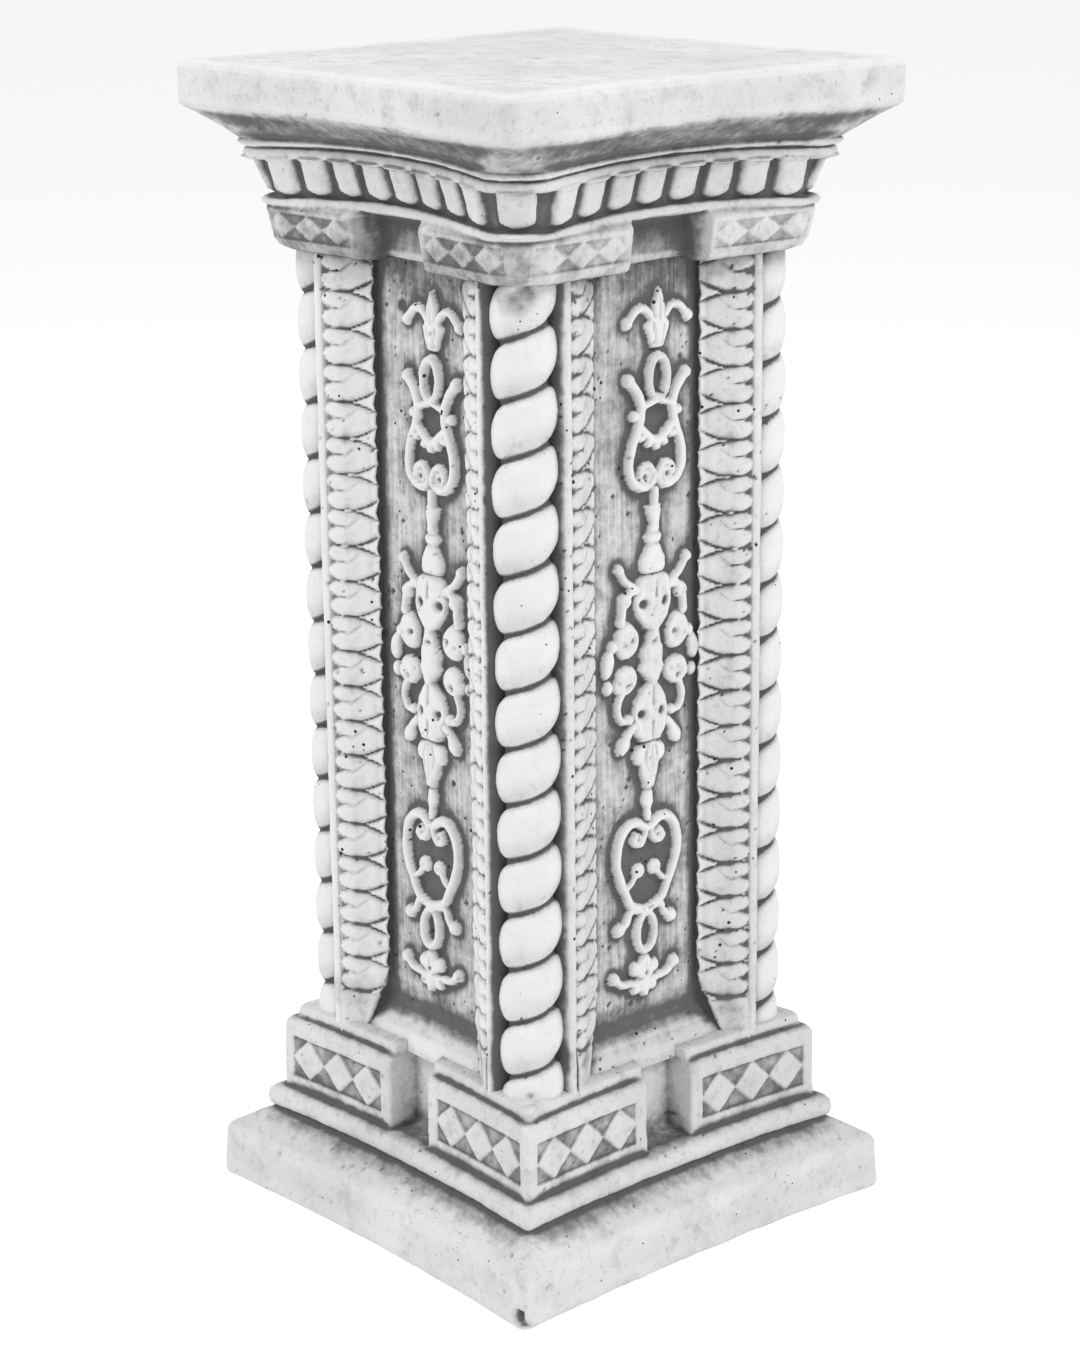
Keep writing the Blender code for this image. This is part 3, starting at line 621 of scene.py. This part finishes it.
# Mouldings: half width and height of the blocks, then of the recess, hollow, corner, bow, row spacing
BASE_NODES = [
    (0.05, 0.0, 0.05, 0.0, 0.0, 0.01, 0.0, 40.0),
    (143.0, 0.0, 143.0, 0.0, 6.0, 2.0, 0.0, 2.5),
    (146.3, 0.6, 146.3, 0.6, 6.0, 2.5, 0.0, 1.5),
    (147.0, 3.0, 147.0, 3.0, 6.0, 2.5, 0.0, 2.6),
    (145.4, 31.0, 145.4, 31.0, 6.0, 2.5, 0.0, 1.4),
    (143.6, 34.0, 143.6, 34.0, 6.0, 2.5, 0.0, 2.2),
    (128.0, 44.0, 128.0, 44.0, 6.0, 2.5, 0.0, 1.4),
    (123.6, 46.0, 123.6, 46.0, 6.0, 2.5, 0.0, 1.2),
    (123.2, 47.2, 123.2, 47.2, 6.0, 2.5, 0.0, 1.2),
    (125.4, 49.4, 125.4, 49.4, 6.0, 3.0, 0.0, 1.4),
    (126.2, 53.5, 126.2, 53.5, 6.0, 3.0, 0.0, 1.4),
    (125.4, 57.6, 125.4, 57.6, 6.0, 3.0, 0.0, 1.2),
    (122.8, 60.2, 122.8, 60.2, 6.0, 3.0, 0.0, 1.2),
    (118.2, 61.4, 114.0, 61.2, 6.0, 3.0, 0.0, 1.2),
    (117.6, 62.8, 100.5, 62.0, 6.0, 3.0, 0.0, 1.3),
    (117.8, 66.0, 98.6, 65.0, 6.0, 3.0, 0.0, 1.25),
    (117.6, 102.6, 98.0, 105.5, 6.0, 3.0, 0.0, 1.2),
    (116.8, 105.2, 98.0, 108.0, 6.0, 3.5, 0.0, 1.0),
    (114.6, 107.2, 97.9, 109.5, 5.5, 3.5, 0.0, 1.0),
    (112.4, 107.8, 97.8, 111.0, 5.5, 4.0, 0.0, 1.0),
    (111.7, 109.4, 97.7, 112.5, 5.5, 4.0, 0.0, 1.0),
    (111.2, 113.6, 97.6, 114.5, 5.0, 4.5, 0.0, 1.0),
    (109.8, 115.2, 97.0, 116.6, 5.0, 5.0, 0.0, 1.2),
    (105.0, 115.8, 95.5, 118.0, 3.0, 6.0, 0.0, 5.0),
    (84.0, 116.2, 84.0, 119.0, 0.0, 4.0, 0.0, 5.0),
]

CAPITAL_NODES = [
    (82.0, 591.6, 82.0, 592.0, 0.0, 12.0, 0.0, 5.0),
    (100.0, 591.0, 90.0, 592.5, 1.0, 24.0, 0.0, 2.0),
    (110.1, 591.4, 95.0, 593.5, 3.0, 24.0, 0.0, 1.2),
    (114.8, 593.6, 97.6, 596.0, 4.0, 24.0, 0.0, 1.2),
    (117.2, 598.0, 98.2, 599.0, 5.0, 24.0, 0.0, 1.25),
    (119.8, 614.5, 98.6, 615.0, 5.0, 24.0, 0.0, 1.2),
    (119.6, 616.6, 100.0, 617.0, 5.0, 24.0, 0.5, 1.0),
    (119.8, 617.4, 111.0, 617.6, 7.0, 24.0, 1.5, 1.0),
    (121.6, 618.2, 121.3, 618.4, 11.0, 25.0, 3.0, 1.0),
    (122.2, 620.0, 122.2, 620.0, 12.5, 25.0, 3.5, 1.0),
    (120.9, 621.6, 120.9, 621.6, 12.5, 25.0, 3.5, 1.0),
    (116.3, 622.6, 116.3, 622.6, 12.5, 25.0, 3.5, 1.2),
    (121.3, 643.6, 121.3, 643.6, 12.5, 25.0, 3.5, 1.2),
    (127.5, 645.0, 127.5, 645.0, 12.5, 25.0, 3.5, 1.2),
    (128.9, 647.0, 128.9, 647.0, 12.5, 25.0, 3.5, 1.2),
    (128.3, 649.6, 128.3, 649.6, 12.5, 25.0, 3.5, 1.0),
    (126.4, 650.6, 126.4, 650.6, 12.5, 25.0, 3.5, 1.0),
    (126.8, 651.6, 126.8, 651.6, 12.5, 25.0, 3.5, 1.0),
    (130.1, 652.4, 130.1, 652.4, 12.0, 25.0, 3.5, 1.2),
    (131.1, 653.8, 131.1, 653.8, 12.0, 25.0, 3.5, 1.2),
    (129.9, 655.6, 129.9, 655.6, 12.0, 25.0, 3.2, 1.4),
    (132.0, 658.2, 132.0, 658.2, 11.0, 21.0, 2.6, 1.6),
    (135.8, 661.4, 135.8, 661.4, 10.5, 21.0, 1.8, 1.6),
    (140.0, 666.0, 140.0, 666.0, 8.3, 15.0, 0.9, 1.6),
    (144.0, 670.4, 144.0, 670.4, 6.0, 8.0, 0.3, 1.8),
    (147.6, 672.9, 147.6, 672.9, 5.0, 6.0, 0.0, 1.4),
    (149.7, 675.0, 149.7, 675.0, 5.0, 6.0, 0.0, 1.8),
    (149.9, 695.5, 149.9, 695.5, 5.0, 6.0, 0.0, 1.2),
    (149.0, 698.4, 149.0, 698.4, 5.0, 6.0, 0.0, 1.2),
    (146.4, 699.8, 146.4, 699.8, 5.0, 7.0, 0.0, 3.0),
    (128.0, 699.8, 128.0, 699.8, 3.5, 7.0, 0.0, 6.0),
    (0.05, 699.8, 0.05, 699.8, 0.0, 0.01, 0.0, 6.0),
]

# Wash and painted shade on the mouldings, darkest under the torus, in the dentil band and in the cove:
# height, how much
BASE_WASH_AND_SHADE = [
    (33.0, 0.0), (36.0, 0.12), (40.0, 0.32), (44.0, 0.55), (46.8, 0.72), (49.0, 0.35), (51.0, 0.0),
    (57.0, 0.08), (60.2, 0.5), (62.5, 0.5), (66.0, 0.12), (102.0, 0.1), (105.0, 0.1), (107.4, 0.6),
    (109.0, 0.6), (111.0, 0.1), (114.0, 0.0), (116.0, 0.35), (117.5, 0.7),
]
CAPITAL_WASH_AND_SHADE = [
    (596.0, 0.45), (606.0, 0.28), (613.5, 0.25), (616.5, 0.6), (618.0, 0.25), (620.5, 0.0),
    (622.0, 0.7), (624.0, 0.58), (643.0, 0.58), (645.5, 0.2), (647.0, 0.0), (649.5, 0.15),
    (650.6, 0.35), (651.6, 0.35), (652.6, 0.2), (655.0, 0.15), (657.5, 0.6), (664.0, 0.65),
    (669.0, 0.8), (672.5, 0.55), (674.0, 0.0),
]

# Stations along a side: fixed places up to a reach, then shares of the way to the corner
FIXED_REACH = 70.0
BASE_STEP = 1.4
BASE_OUTER_COUNT = 34
BASE_BLOCK_EDGE = 17.0
BASE_BLOCK_START = 16.4
BASE_BLOCK_ROUND = 2.6
CAPITAL_STEP = 1.6
CAPITAL_OUTER_COUNT = 30
CAPITAL_BLOCK_EDGE = 29.0
CAPITAL_BLOCK_START = 28.2
CAPITAL_BLOCK_ROUND = 3.0

# Sunk diamonds of the blocks: where they start, width, middle, half height, depth
DIAMOND_COUNT = 3
DIAMOND_LINE = 0.07
DIAMOND_WASH = 0.18
BASE_DIAMONDS = (27.0, 27.3, 82.5, 13.2, 1.2)
CAPITAL_DIAMONDS = (33.0, 24.0, 606.5, 7.5, 0.9)

# Faces of the blocks: lowest and highest place, and how far out they stand at least
BASE_FACE_LOW = 63.0
BASE_FACE_HIGH = 106.0
CAPITAL_FACE_LOW = 597.0
CAPITAL_FACE_HIGH = 616.0
FACE_OUT = 105.0

# Recess of the base: where it starts, its paleness, and the wash at its foot and ends
BASE_RECESS_FROM = (60.5, 62.0)
BASE_RECESS_TINT = -0.4
RECESS_FOOT_FROM = (80.0, 64.0)
RECESS_FOOT_WASH = 0.4
RECESS_END_FROM = (10.0, 17.0)
RECESS_END_WASH = 0.3

# Recess of the capital: where it starts and ends, its wash, and the painted shade under the blocks
CAPITAL_RECESS_FROM = (590.0, 593.0)
CAPITAL_RECESS_TO = (618.0, 616.5)
CAPITAL_RECESS_WASH = 0.42
UNDER_BLOCKS_FROM = (593.0, 591.0)
UNDER_BLOCKS_SHADE = 0.6

# Dentils, which follow the bow of the side
SIDE_BOW = 3.5
SIDE_BOW_REACH = 90.0
DENTIL_PLACES = (12.2, 36.6, 61.0, 85.4)
DENTIL_HALF = 9.3
DENTIL_LOW = 621.5
DENTIL_HIGH = 646.0
DENTIL_FOOT = (623.5, 626.0)
DENTIL_FOOT_CURVE = 0.035
DENTIL_HEAD = (646.5, 644.0)
DENTIL_RISE = ((622.0, 3.6), (644.0, 6.0))
DENTIL_CLEAN = 0.95


def stations(inner_step, outer_count, edges):
    """Places round one side: millimetres up to FIXED_REACH, then shares of the way to the corner."""
    fixed = list(np.arange(0.0, FIXED_REACH, inner_step))
    for edge in edges:
        fixed = [s for s in fixed if abs(s - edge) > 1.1]
        fixed += [edge - 0.9, edge - 0.3, edge + 0.3, edge + 0.9]
    fixed = sorted(fixed)
    outer = list(FIXED_REACH + np.linspace(0, 1, outer_count))
    half = np.array(fixed + outer)
    return np.concatenate([-half[:0:-1], half])[:-1]


def band(nodes, places, gap, round_off):
    """Ring of mouldings in side coordinates, with sides s, and the unrolled place on each side."""
    rows = []
    for here, after in zip(nodes[:-1], nodes[1:]):
        length = math.hypot(after[0] - here[0], after[1] - here[1])
        count = max(1, round(length / here[-1]))
        for i in range(count):
            rows.append(np.array(here) + (np.array(after) - np.array(here)) * i / count)
    rows.append(np.array(nodes[-1], dtype=float))
    rows = np.array(rows)[:, :, None]
    block_half, block_z, recess_half, recess_z, hollow, corner, bow = (rows[:, i] for i in range(7))
    size = np.abs(places)[None, :]
    limit = np.minimum(block_half - corner, block_half * 0.98)
    end = limit + corner * math.pi / 4
    scale = np.minimum(1.0, end / (FIXED_REACH * 1.3))
    reach = FIXED_REACH * scale
    sigma = np.where(size <= FIXED_REACH, size * scale, reach + (end - reach) * (size - FIXED_REACH))
    x = np.clip((sigma - gap) / round_off, 0, 1)
    mask = np.sqrt(1 - (1 - x) ** 2)
    inner = np.minimum(sigma, limit)
    share = inner / limit
    turn = np.clip((sigma - limit) / corner, 0, math.pi / 4)
    half = recess_half + (block_half - recess_half) * mask
    along = inner + corner * np.sin(turn)
    depth = half - corner * (1 - np.cos(turn)) - hollow * (1 - share ** 2)
    z = recess_z + (block_z - recess_z) * mask + bow * (1 - share ** 2)
    side = np.stack([along * np.sign(places)[None, :], depth, z], axis=-1)
    return side, sigma, end, mask


def diamonds(sigma, z, first, pitch, middle, half_height, depth):
    """How deep the triangles between the diamonds lie, and their outlines."""
    across = (sigma - first) / pitch
    index = np.clip(np.floor(across), 0, DIAMOND_COUNT - 1)
    in_row = smooth(0.4, -0.4, sigma - first - DIAMOND_COUNT * pitch)
    u = np.abs(across - index - 0.5) * 2
    v = np.abs(z - middle) / half_height
    inside = smooth(-0.4, 0.4, sigma - first) * in_row
    inside = inside * smooth(1.05, 0.95, v)
    sunk = smooth(-0.02, 0.08, u + v - 1.0)
    line = np.exp(-((u + v - 1.0) / DIAMOND_LINE) ** 2)
    frame_line = np.exp(-((v - 1.0) / DIAMOND_LINE) ** 2) * smooth(-0.4, 0.4, sigma - first)
    return depth * (sunk * inside + 0.25 * line * inside + 0.4 * frame_line * in_row)


def ring_of(side):
    """The four sides of a ring, joined into one closed grid."""
    return np.concatenate([turned(side, quarter) for quarter in range(4)], axis=1)


def base_ring():
    """Plinth, torus and corner blocks all round: points, and the listed wash and painted shade."""
    places = stations(BASE_STEP, BASE_OUTER_COUNT, [BASE_BLOCK_EDGE])
    side, sigma, _, mask = band(BASE_NODES, places, BASE_BLOCK_START, BASE_BLOCK_ROUND)
    z = side[..., 2]
    on_face = (z > BASE_FACE_LOW) & (z < BASE_FACE_HIGH) & (side[..., 1] > FACE_OUT)
    cut = diamonds(sigma, z, *BASE_DIAMONDS)
    side[..., 1] -= np.where(on_face, cut * mask, 0.0)
    # Wash and painted shade by height
    dark = np.interp(z, *zip(*BASE_WASH_AND_SHADE))
    recess = (1 - mask) * smooth(*BASE_RECESS_FROM, z)
    off_middle = np.abs(side[..., 0])
    recess_wash = BASE_RECESS_TINT + RECESS_FOOT_WASH * smooth(*RECESS_FOOT_FROM, z)
    recess_wash = recess_wash + RECESS_END_WASH * smooth(*RECESS_END_FROM, off_middle)
    dark = dark * (1 - recess) + recess * recess_wash
    dark = dark + np.where(on_face, DIAMOND_WASH * np.clip(cut, 0, 1.2) * mask, 0.0)
    return ring_of(side), np.tile(dark, (1, 4))


def capital_ring():
    """Corner blocks, dentils, fillets, cove and slab all round: points, and the listed wash and
    painted shade.
    """
    places = stations(CAPITAL_STEP, CAPITAL_OUTER_COUNT, [CAPITAL_BLOCK_EDGE])
    side, sigma, end, mask = band(CAPITAL_NODES, places, CAPITAL_BLOCK_START, CAPITAL_BLOCK_ROUND)
    z = side[..., 2]
    on_face = (z > CAPITAL_FACE_LOW) & (z < CAPITAL_FACE_HIGH) & (side[..., 1] > FACE_OUT)
    cut = diamonds(sigma, z, *CAPITAL_DIAMONDS)
    side[..., 1] -= np.where(on_face, cut * mask, 0.0)
    level = z - SIDE_BOW * (1 - np.minimum(sigma / SIDE_BOW_REACH, 1) ** 2)
    gap = np.abs(end - sigma)
    for centre in DENTIL_PLACES:
        gap = np.minimum(gap, np.abs(sigma - centre))
    tooth = np.sqrt(np.clip(1 - (gap / DENTIL_HALF) ** 6, 0, 1))
    foot = smooth(*DENTIL_FOOT, level - DENTIL_FOOT_CURVE * gap ** 2)
    tooth = tooth * foot * smooth(*DENTIL_HEAD, level)
    rise = np.interp(level, *zip(*DENTIL_RISE))
    on_band = (level > DENTIL_LOW) & (level < DENTIL_HIGH)
    side[..., 1] += np.where(on_band, tooth * rise, 0.0)
    # Wash and painted shade by height
    dark = np.interp(level, *zip(*CAPITAL_WASH_AND_SHADE))
    dark = np.where(on_band, dark * (1 - DENTIL_CLEAN * tooth), dark)
    recess = (1 - mask) * smooth(*CAPITAL_RECESS_FROM, z) * smooth(*CAPITAL_RECESS_TO, z)
    dark = np.maximum(dark, recess * CAPITAL_RECESS_WASH)
    # Painted shade under the capital's blocks
    dark = dark + UNDER_BLOCKS_SHADE * smooth(*UNDER_BLOCKS_FROM, z)
    return ring_of(side), np.tile(dark, (1, 4))


def math_node(tree, operation, first, second):
    """Result of an operation on two values or sockets."""
    node = tree.nodes.new("ShaderNodeMath")
    node.operation = operation
    for socket, value in zip(node.inputs, (first, second)):
        if hasattr(value, "links"):
            tree.links.new(value, socket)
        else:
            socket.default_value = value
    return node.outputs[0]


def noise_node(tree, vector, scale, detail, rough=0.55):
    """Noise over the stone; the scale is lumps per metre."""
    node = tree.nodes.new("ShaderNodeTexNoise")
    node.inputs["Scale"].default_value = scale
    node.inputs["Detail"].default_value = detail
    node.inputs["Roughness"].default_value = rough
    tree.links.new(vector, node.inputs["Vector"])
    return node.outputs["Fac"]


def ramp(tree, value, low, high):
    """Smooth step of a value."""
    node = tree.nodes.new("ShaderNodeMapRange")
    node.interpolation_type = "SMOOTHSTEP"
    node.inputs["From Min"].default_value = low
    node.inputs["From Max"].default_value = high
    tree.links.new(value, node.inputs["Value"])
    return node.outputs["Result"]


def mix_colour(tree, share, first, second):
    """First colour, with a share of the second laid over it."""
    node = tree.nodes.new("ShaderNodeMix")
    node.data_type = "RGBA"
    tree.links.new(share, node.inputs["Factor"])
    for socket, value in ((node.inputs["A"], first), (node.inputs["B"], second)):
        if hasattr(value, "links"):
            tree.links.new(value, socket)
        else:
            socket.default_value = value
    return node.outputs["Result"]


def grey(value):
    """Neutral colour of that lightness."""
    return (value, value, value, 1.0)


# Lightness of the stone and of what lies on it
DULL_STONE = 0.61
CLEAN_STONE = 0.70
PATCH_TONE = 0.50
SPECK_TONE = 0.27
DROP_TONE = 0.33
# Raised edges lighter: the wash rubbed off them, with a painted highlight
RUBBED_EDGE_AND_HIGHLIGHT = 0.80
# Dark film of the wash and painted shade: its lightness, and how fully it covers
WASH_AND_SHADE_TONE = 0.05
WASH_AND_SHADE_COVER = 0.885
HOLE_TONE = 0.03
SPECK_SHARE = 0.45
DROP_SHARE = 0.3
# Share of the rubbed wear and painted highlight
RUBBED_AND_HIGHLIGHT_SHARE = 0.7
STONE_ROUGHNESS = 0.88
STONE_SHEEN = 0.25

# Sizes of the stone's marks, in lumps per metre
BROAD_SCALE = 14.0
PATCH_SCALE = 60.0
RARE_SCALE = 45.0
BUBBLE_SCALE = 150.0
FINE_SCALE = 170.0
DROP_SCALE = 190.0
GRAIN_SCALE = 420.0
STREAK_STRETCH = 0.045
BUBBLE_REACH = 0.17
BUMP_STRENGTH = 0.75
BUMP_HEIGHT = 0.0011


def stone_material():
    """Light cast stone with a dark wash and painted shade in its recesses, raised edges lighter from
    rubbing and a painted highlight, brush streaks and air bubbles.
    """
    material = bpy.data.materials.new("weathered_cast_stone")
    material.use_nodes = True
    tree = material.node_tree
    shader = tree.nodes["Principled BSDF"]
    place = tree.nodes.new("ShaderNodeTexCoord").outputs["Object"]
    wash_and_shade = tree.nodes.new("ShaderNodeAttribute")
    wash_and_shade.attribute_name = "wash_and_shade"
    streak = tree.nodes.new("ShaderNodeAttribute")
    streak.attribute_name = "streak"
    pores = tree.nodes.new("ShaderNodeAttribute")
    pores.attribute_name = "pores"

    broad = noise_node(tree, place, BROAD_SCALE, 4.0)
    patch = noise_node(tree, place, PATCH_SCALE, 5.0, 0.65)
    grain = noise_node(tree, place, GRAIN_SCALE, 4.0, 0.7)
    stretch = tree.nodes.new("ShaderNodeMapping")
    stretch.inputs["Scale"].default_value = (1.0, 1.0, STREAK_STRETCH)
    tree.links.new(place, stretch.inputs["Vector"])
    brush = noise_node(tree, stretch.outputs["Vector"], GRAIN_SCALE, 3.0, 0.7)

    tone = mix_colour(tree, ramp(tree, broad, 0.3, 0.7), grey(DULL_STONE), grey(CLEAN_STONE))
    tone = mix_colour(tree, ramp(tree, patch, 0.46, 0.80), tone, grey(PATCH_TONE))
    speck = math_node(tree, "MULTIPLY", ramp(tree, grain, 0.56, 0.74), SPECK_SHARE)
    tone = mix_colour(tree, speck, tone, grey(SPECK_TONE))
    drop = ramp(tree, noise_node(tree, place, DROP_SCALE, 2.0), 0.60, 0.68)
    tone = mix_colour(tree, math_node(tree, "MULTIPLY", drop, DROP_SHARE), tone, grey(DROP_TONE))
    # Painted highlight with rubbed wear: raised parts, where the wash and painted shade run below
    # zero, turn lighter
    edge = ramp(tree, math_node(tree, "MULTIPLY", wash_and_shade.outputs["Fac"], -1.0), 0.06, 0.40)
    edge = math_node(tree, "MULTIPLY", edge, RUBBED_AND_HIGHLIGHT_SHARE)
    tone = mix_colour(tree, edge, tone, grey(RUBBED_EDGE_AND_HIGHLIGHT))

    fine = noise_node(tree, place, FINE_SCALE, 4.0, 0.62)
    uneven = math_node(tree, "MULTIPLY", math_node(tree, "SUBTRACT", patch, 0.5), 0.8)
    blotch = math_node(tree, "MULTIPLY", math_node(tree, "SUBTRACT", fine, 0.5), 0.7)
    uneven = math_node(tree, "ADD", uneven, blotch)
    brushed = math_node(tree, "ADD", math_node(tree, "MULTIPLY", brush, 0.9), -0.18)
    brushed = math_node(tree, "MULTIPLY", brushed, streak.outputs["Fac"])
    # Dark film of the wash and painted shade, over blotches and brush streaks
    dirt_and_shade = math_node(tree, "ADD", math_node(tree, "ADD", brushed, uneven), wash_and_shade.outputs["Fac"])
    wash_and_shade_film = math_node(tree, "MULTIPLY", ramp(tree, dirt_and_shade, 0.02, 1.0), WASH_AND_SHADE_COVER)
    tone = mix_colour(tree, wash_and_shade_film, tone, grey(WASH_AND_SHADE_TONE))

    bubble = tree.nodes.new("ShaderNodeTexVoronoi")
    bubble.inputs["Scale"].default_value = BUBBLE_SCALE
    bubble.inputs["Randomness"].default_value = 1.0
    tree.links.new(place, bubble.inputs["Vector"])
    rare = ramp(tree, noise_node(tree, place, RARE_SCALE, 1.0), 0.50, 0.66)
    reach = math_node(tree, "MULTIPLY", rare, BUBBLE_REACH)
    reach = math_node(tree, "MULTIPLY", reach, pores.outputs["Fac"])
    hole = math_node(tree, "LESS_THAN", bubble.outputs["Distance"], reach)
    tone = mix_colour(tree, hole, tone, grey(HOLE_TONE))

    tree.links.new(tone, shader.inputs["Base Color"])
    shader.inputs["Roughness"].default_value = STONE_ROUGHNESS
    shader.inputs["Specular IOR Level"].default_value = STONE_SHEEN

    height = math_node(tree, "ADD", math_node(tree, "MULTIPLY", grain, 0.5), patch)
    height = math_node(tree, "SUBTRACT", height, hole)
    bump = tree.nodes.new("ShaderNodeBump")
    bump.inputs["Strength"].default_value = BUMP_STRENGTH
    bump.inputs["Distance"].default_value = BUMP_HEIGHT
    tree.links.new(height, bump.inputs["Height"])
    tree.links.new(bump.outputs["Normal"], shader.inputs["Normal"])
    return material


# The two sides that face the viewer
LEFT_FACE_QUARTER = 3
RIGHT_FACE_QUARTER = 0

# How rough each piece is, how many pits it has, and how open its pores are
SHAFT_WEAR = (1.15, 250, 1.0)
ROPE_WEAR = (1.0, 12, 0.5)
BASE_WEAR = (1.5, 150, 0.6)
CAPITAL_WEAR = (1.4, 60, 0.45)

# Further darkening, set one by one: a strip beside the front rope on the left-facing side and the
# stiles of the right-facing side, the share of wash and painted shade on the rings, painted shade over
# the base, over the capital below its top face and on its left-facing blocks, and the limits of these
NICHE_FROM = (73.0, 75.0)
NICHE_DARKENING = 0.8
RIGHT_STILE_DARKENING = 0.24
RING_WASH_AND_SHADE = 0.55
# Painted shade over the whole base, and over the capital below its top face
BASE_SHADE = 0.09
CAPITAL_SHADE = 0.1
# Painted shade on the left-facing capital blocks, up to their tops
LEFT_BLOCK_SHADE = 0.5
BLOCK_FACE = -105.0
BLOCK_TOP = 617.0
TOP_FACE_Z = 696.0

stone = stone_material()

side, on_panel, side_dark = shaft_side()
rope_side, rope_dark = rope()
for quarter in range(4):
    rough, pit_count, pores = SHAFT_WEAR
    points, wash_and_shade = weather(turned(side, quarter), False, rough, pit_count)
    on_stiles = side[..., 1] > RIM_DEPTH
    if quarter == LEFT_FACE_QUARTER:
        # Darker strip beside the front rope, on the left-facing side only
        wash_and_shade = wash_and_shade + NICHE_DARKENING * smooth(*NICHE_FROM, side[..., 0]) * on_stiles
    if quarter == RIGHT_FACE_QUARTER:
        # Stiles darker on the right-facing side only
        wash_and_shade = wash_and_shade + RIGHT_STILE_DARKENING * on_stiles
    add_grid(f"shaft_side_{quarter + 1}", points, wash_and_shade + side_dark, on_panel, False, pores)
    rough, pit_count, pores = ROPE_WEAR
    points, wash_and_shade = weather(turned(rope_side, quarter), False, rough, pit_count)
    bare = np.zeros(wash_and_shade.shape)
    add_grid(f"corner_rope_{quarter + 1}", points, wash_and_shade + rope_dark, bare, False, pores)

base, base_dark = base_ring()
rough, pit_count, pores = BASE_WEAR
points, wash_and_shade = weather(base, True, rough, pit_count)
# Painted shade over the whole base
wash_and_shade = wash_and_shade * RING_WASH_AND_SHADE + base_dark + BASE_SHADE
add_grid("moulded_base", points, wash_and_shade, np.zeros(wash_and_shade.shape), True, pores)

capital, capital_dark = capital_ring()
rough, pit_count, pores = CAPITAL_WEAR
points, wash_and_shade = weather(capital, True, rough, pit_count)
# Painted shade on the left-facing capital blocks
wash_and_shade = wash_and_shade + LEFT_BLOCK_SHADE * (points[..., 1] < BLOCK_FACE) * (points[..., 2] < BLOCK_TOP)
# Painted shade over the capital below its top face, which stays lighter
wash_and_shade = wash_and_shade * RING_WASH_AND_SHADE + capital_dark + CAPITAL_SHADE * (points[..., 2] < TOP_FACE_Z)
add_grid("moulded_capital", points, wash_and_shade, np.zeros(wash_and_shade.shape), True, pores)


# Studio, in metres
FLOOR_REACH = 30.0
FLOOR_TONE = 0.9
FLOOR_GLOW = 0.27
LIGHT_SIZE = 0.8
KEY_PLACE = (-0.9, -1.7, 2.7)
KEY_TARGET = (0.0, 0.0, 0.4)
KEY_POWER = 30
FILL_PLACE = (1.9, 0.5, 2.4)
FILL_TARGET = (0.0, 0.0, 0.35)
FILL_POWER = 27
SKY_STRENGTH = 0.71
CAMERA_PLACE = (1.406, -1.213, 0.8715)
CAMERA_YAW_DEG = 49.29
CAMERA_PITCH_DEG = 16.21
CAMERA_ROLL_DEG = -0.61
CAMERA_LENS = 85.25
CAMERA_SENSOR = 36.0


def add_floor():
    """Pale floor that fills the view."""
    mesh = bpy.data.meshes.new("studio_floor")
    reach = FLOOR_REACH
    corners = [(-reach, -reach, 0), (reach, -reach, 0), (reach, reach, 0), (-reach, reach, 0)]
    mesh.from_pydata(corners, [], [(0, 1, 2, 3)])
    floor = bpy.data.objects.new("studio_floor", mesh)
    bpy.context.collection.objects.link(floor)
    material = bpy.data.materials.new("pale_floor")
    material.use_nodes = True
    shader = material.node_tree.nodes["Principled BSDF"]
    shader.inputs["Base Color"].default_value = grey(FLOOR_TONE)
    shader.inputs["Emission Color"].default_value = grey(1.0)
    shader.inputs["Emission Strength"].default_value = FLOOR_GLOW
    shader.inputs["Roughness"].default_value = 0.9
    mesh.materials.append(material)


def add_light(name, place, target, power):
    """Square soft light aimed at a target."""
    lamp = bpy.data.lights.new(name, "AREA")
    lamp.shape = "SQUARE"
    lamp.size = LIGHT_SIZE
    lamp.energy = power
    item = bpy.data.objects.new(name, lamp)
    item.location = place
    aim = Vector(target) - Vector(place)
    item.rotation_euler = aim.to_track_quat("-Z", "Y").to_euler()
    bpy.context.collection.objects.link(item)


def add_camera():
    """Camera at the photograph's place and angle."""
    yaw = math.radians(CAMERA_YAW_DEG)
    pitch = math.radians(CAMERA_PITCH_DEG)
    roll = math.radians(CAMERA_ROLL_DEG)
    level = math.cos(pitch)
    back = Vector((math.sin(yaw) * level, -math.cos(yaw) * level, math.sin(pitch)))
    right = Vector((math.cos(yaw), math.sin(yaw), 0.0))
    up = back.cross(right)
    x = right * math.cos(roll) + up * math.sin(roll)
    y = up * math.cos(roll) - right * math.sin(roll)
    data = bpy.data.cameras.new("camera")
    data.sensor_width = CAMERA_SENSOR
    data.lens = CAMERA_LENS
    item = bpy.data.objects.new("camera", data)
    axes = Matrix((x, y, back)).transposed().to_4x4()
    item.matrix_world = Matrix.Translation(CAMERA_PLACE) @ axes
    bpy.context.collection.objects.link(item)
    bpy.context.scene.camera = item


add_floor()
add_light("key", KEY_PLACE, KEY_TARGET, KEY_POWER)
add_light("fill", FILL_PLACE, FILL_TARGET, FILL_POWER)
add_camera()

world = bpy.data.worlds.new("studio")
bpy.context.scene.world = world
world.use_nodes = True
sky = world.node_tree.nodes["Background"]
sky.inputs["Color"].default_value = grey(1.0)
sky.inputs["Strength"].default_value = SKY_STRENGTH
bpy.context.scene.view_settings.view_transform = "Standard"
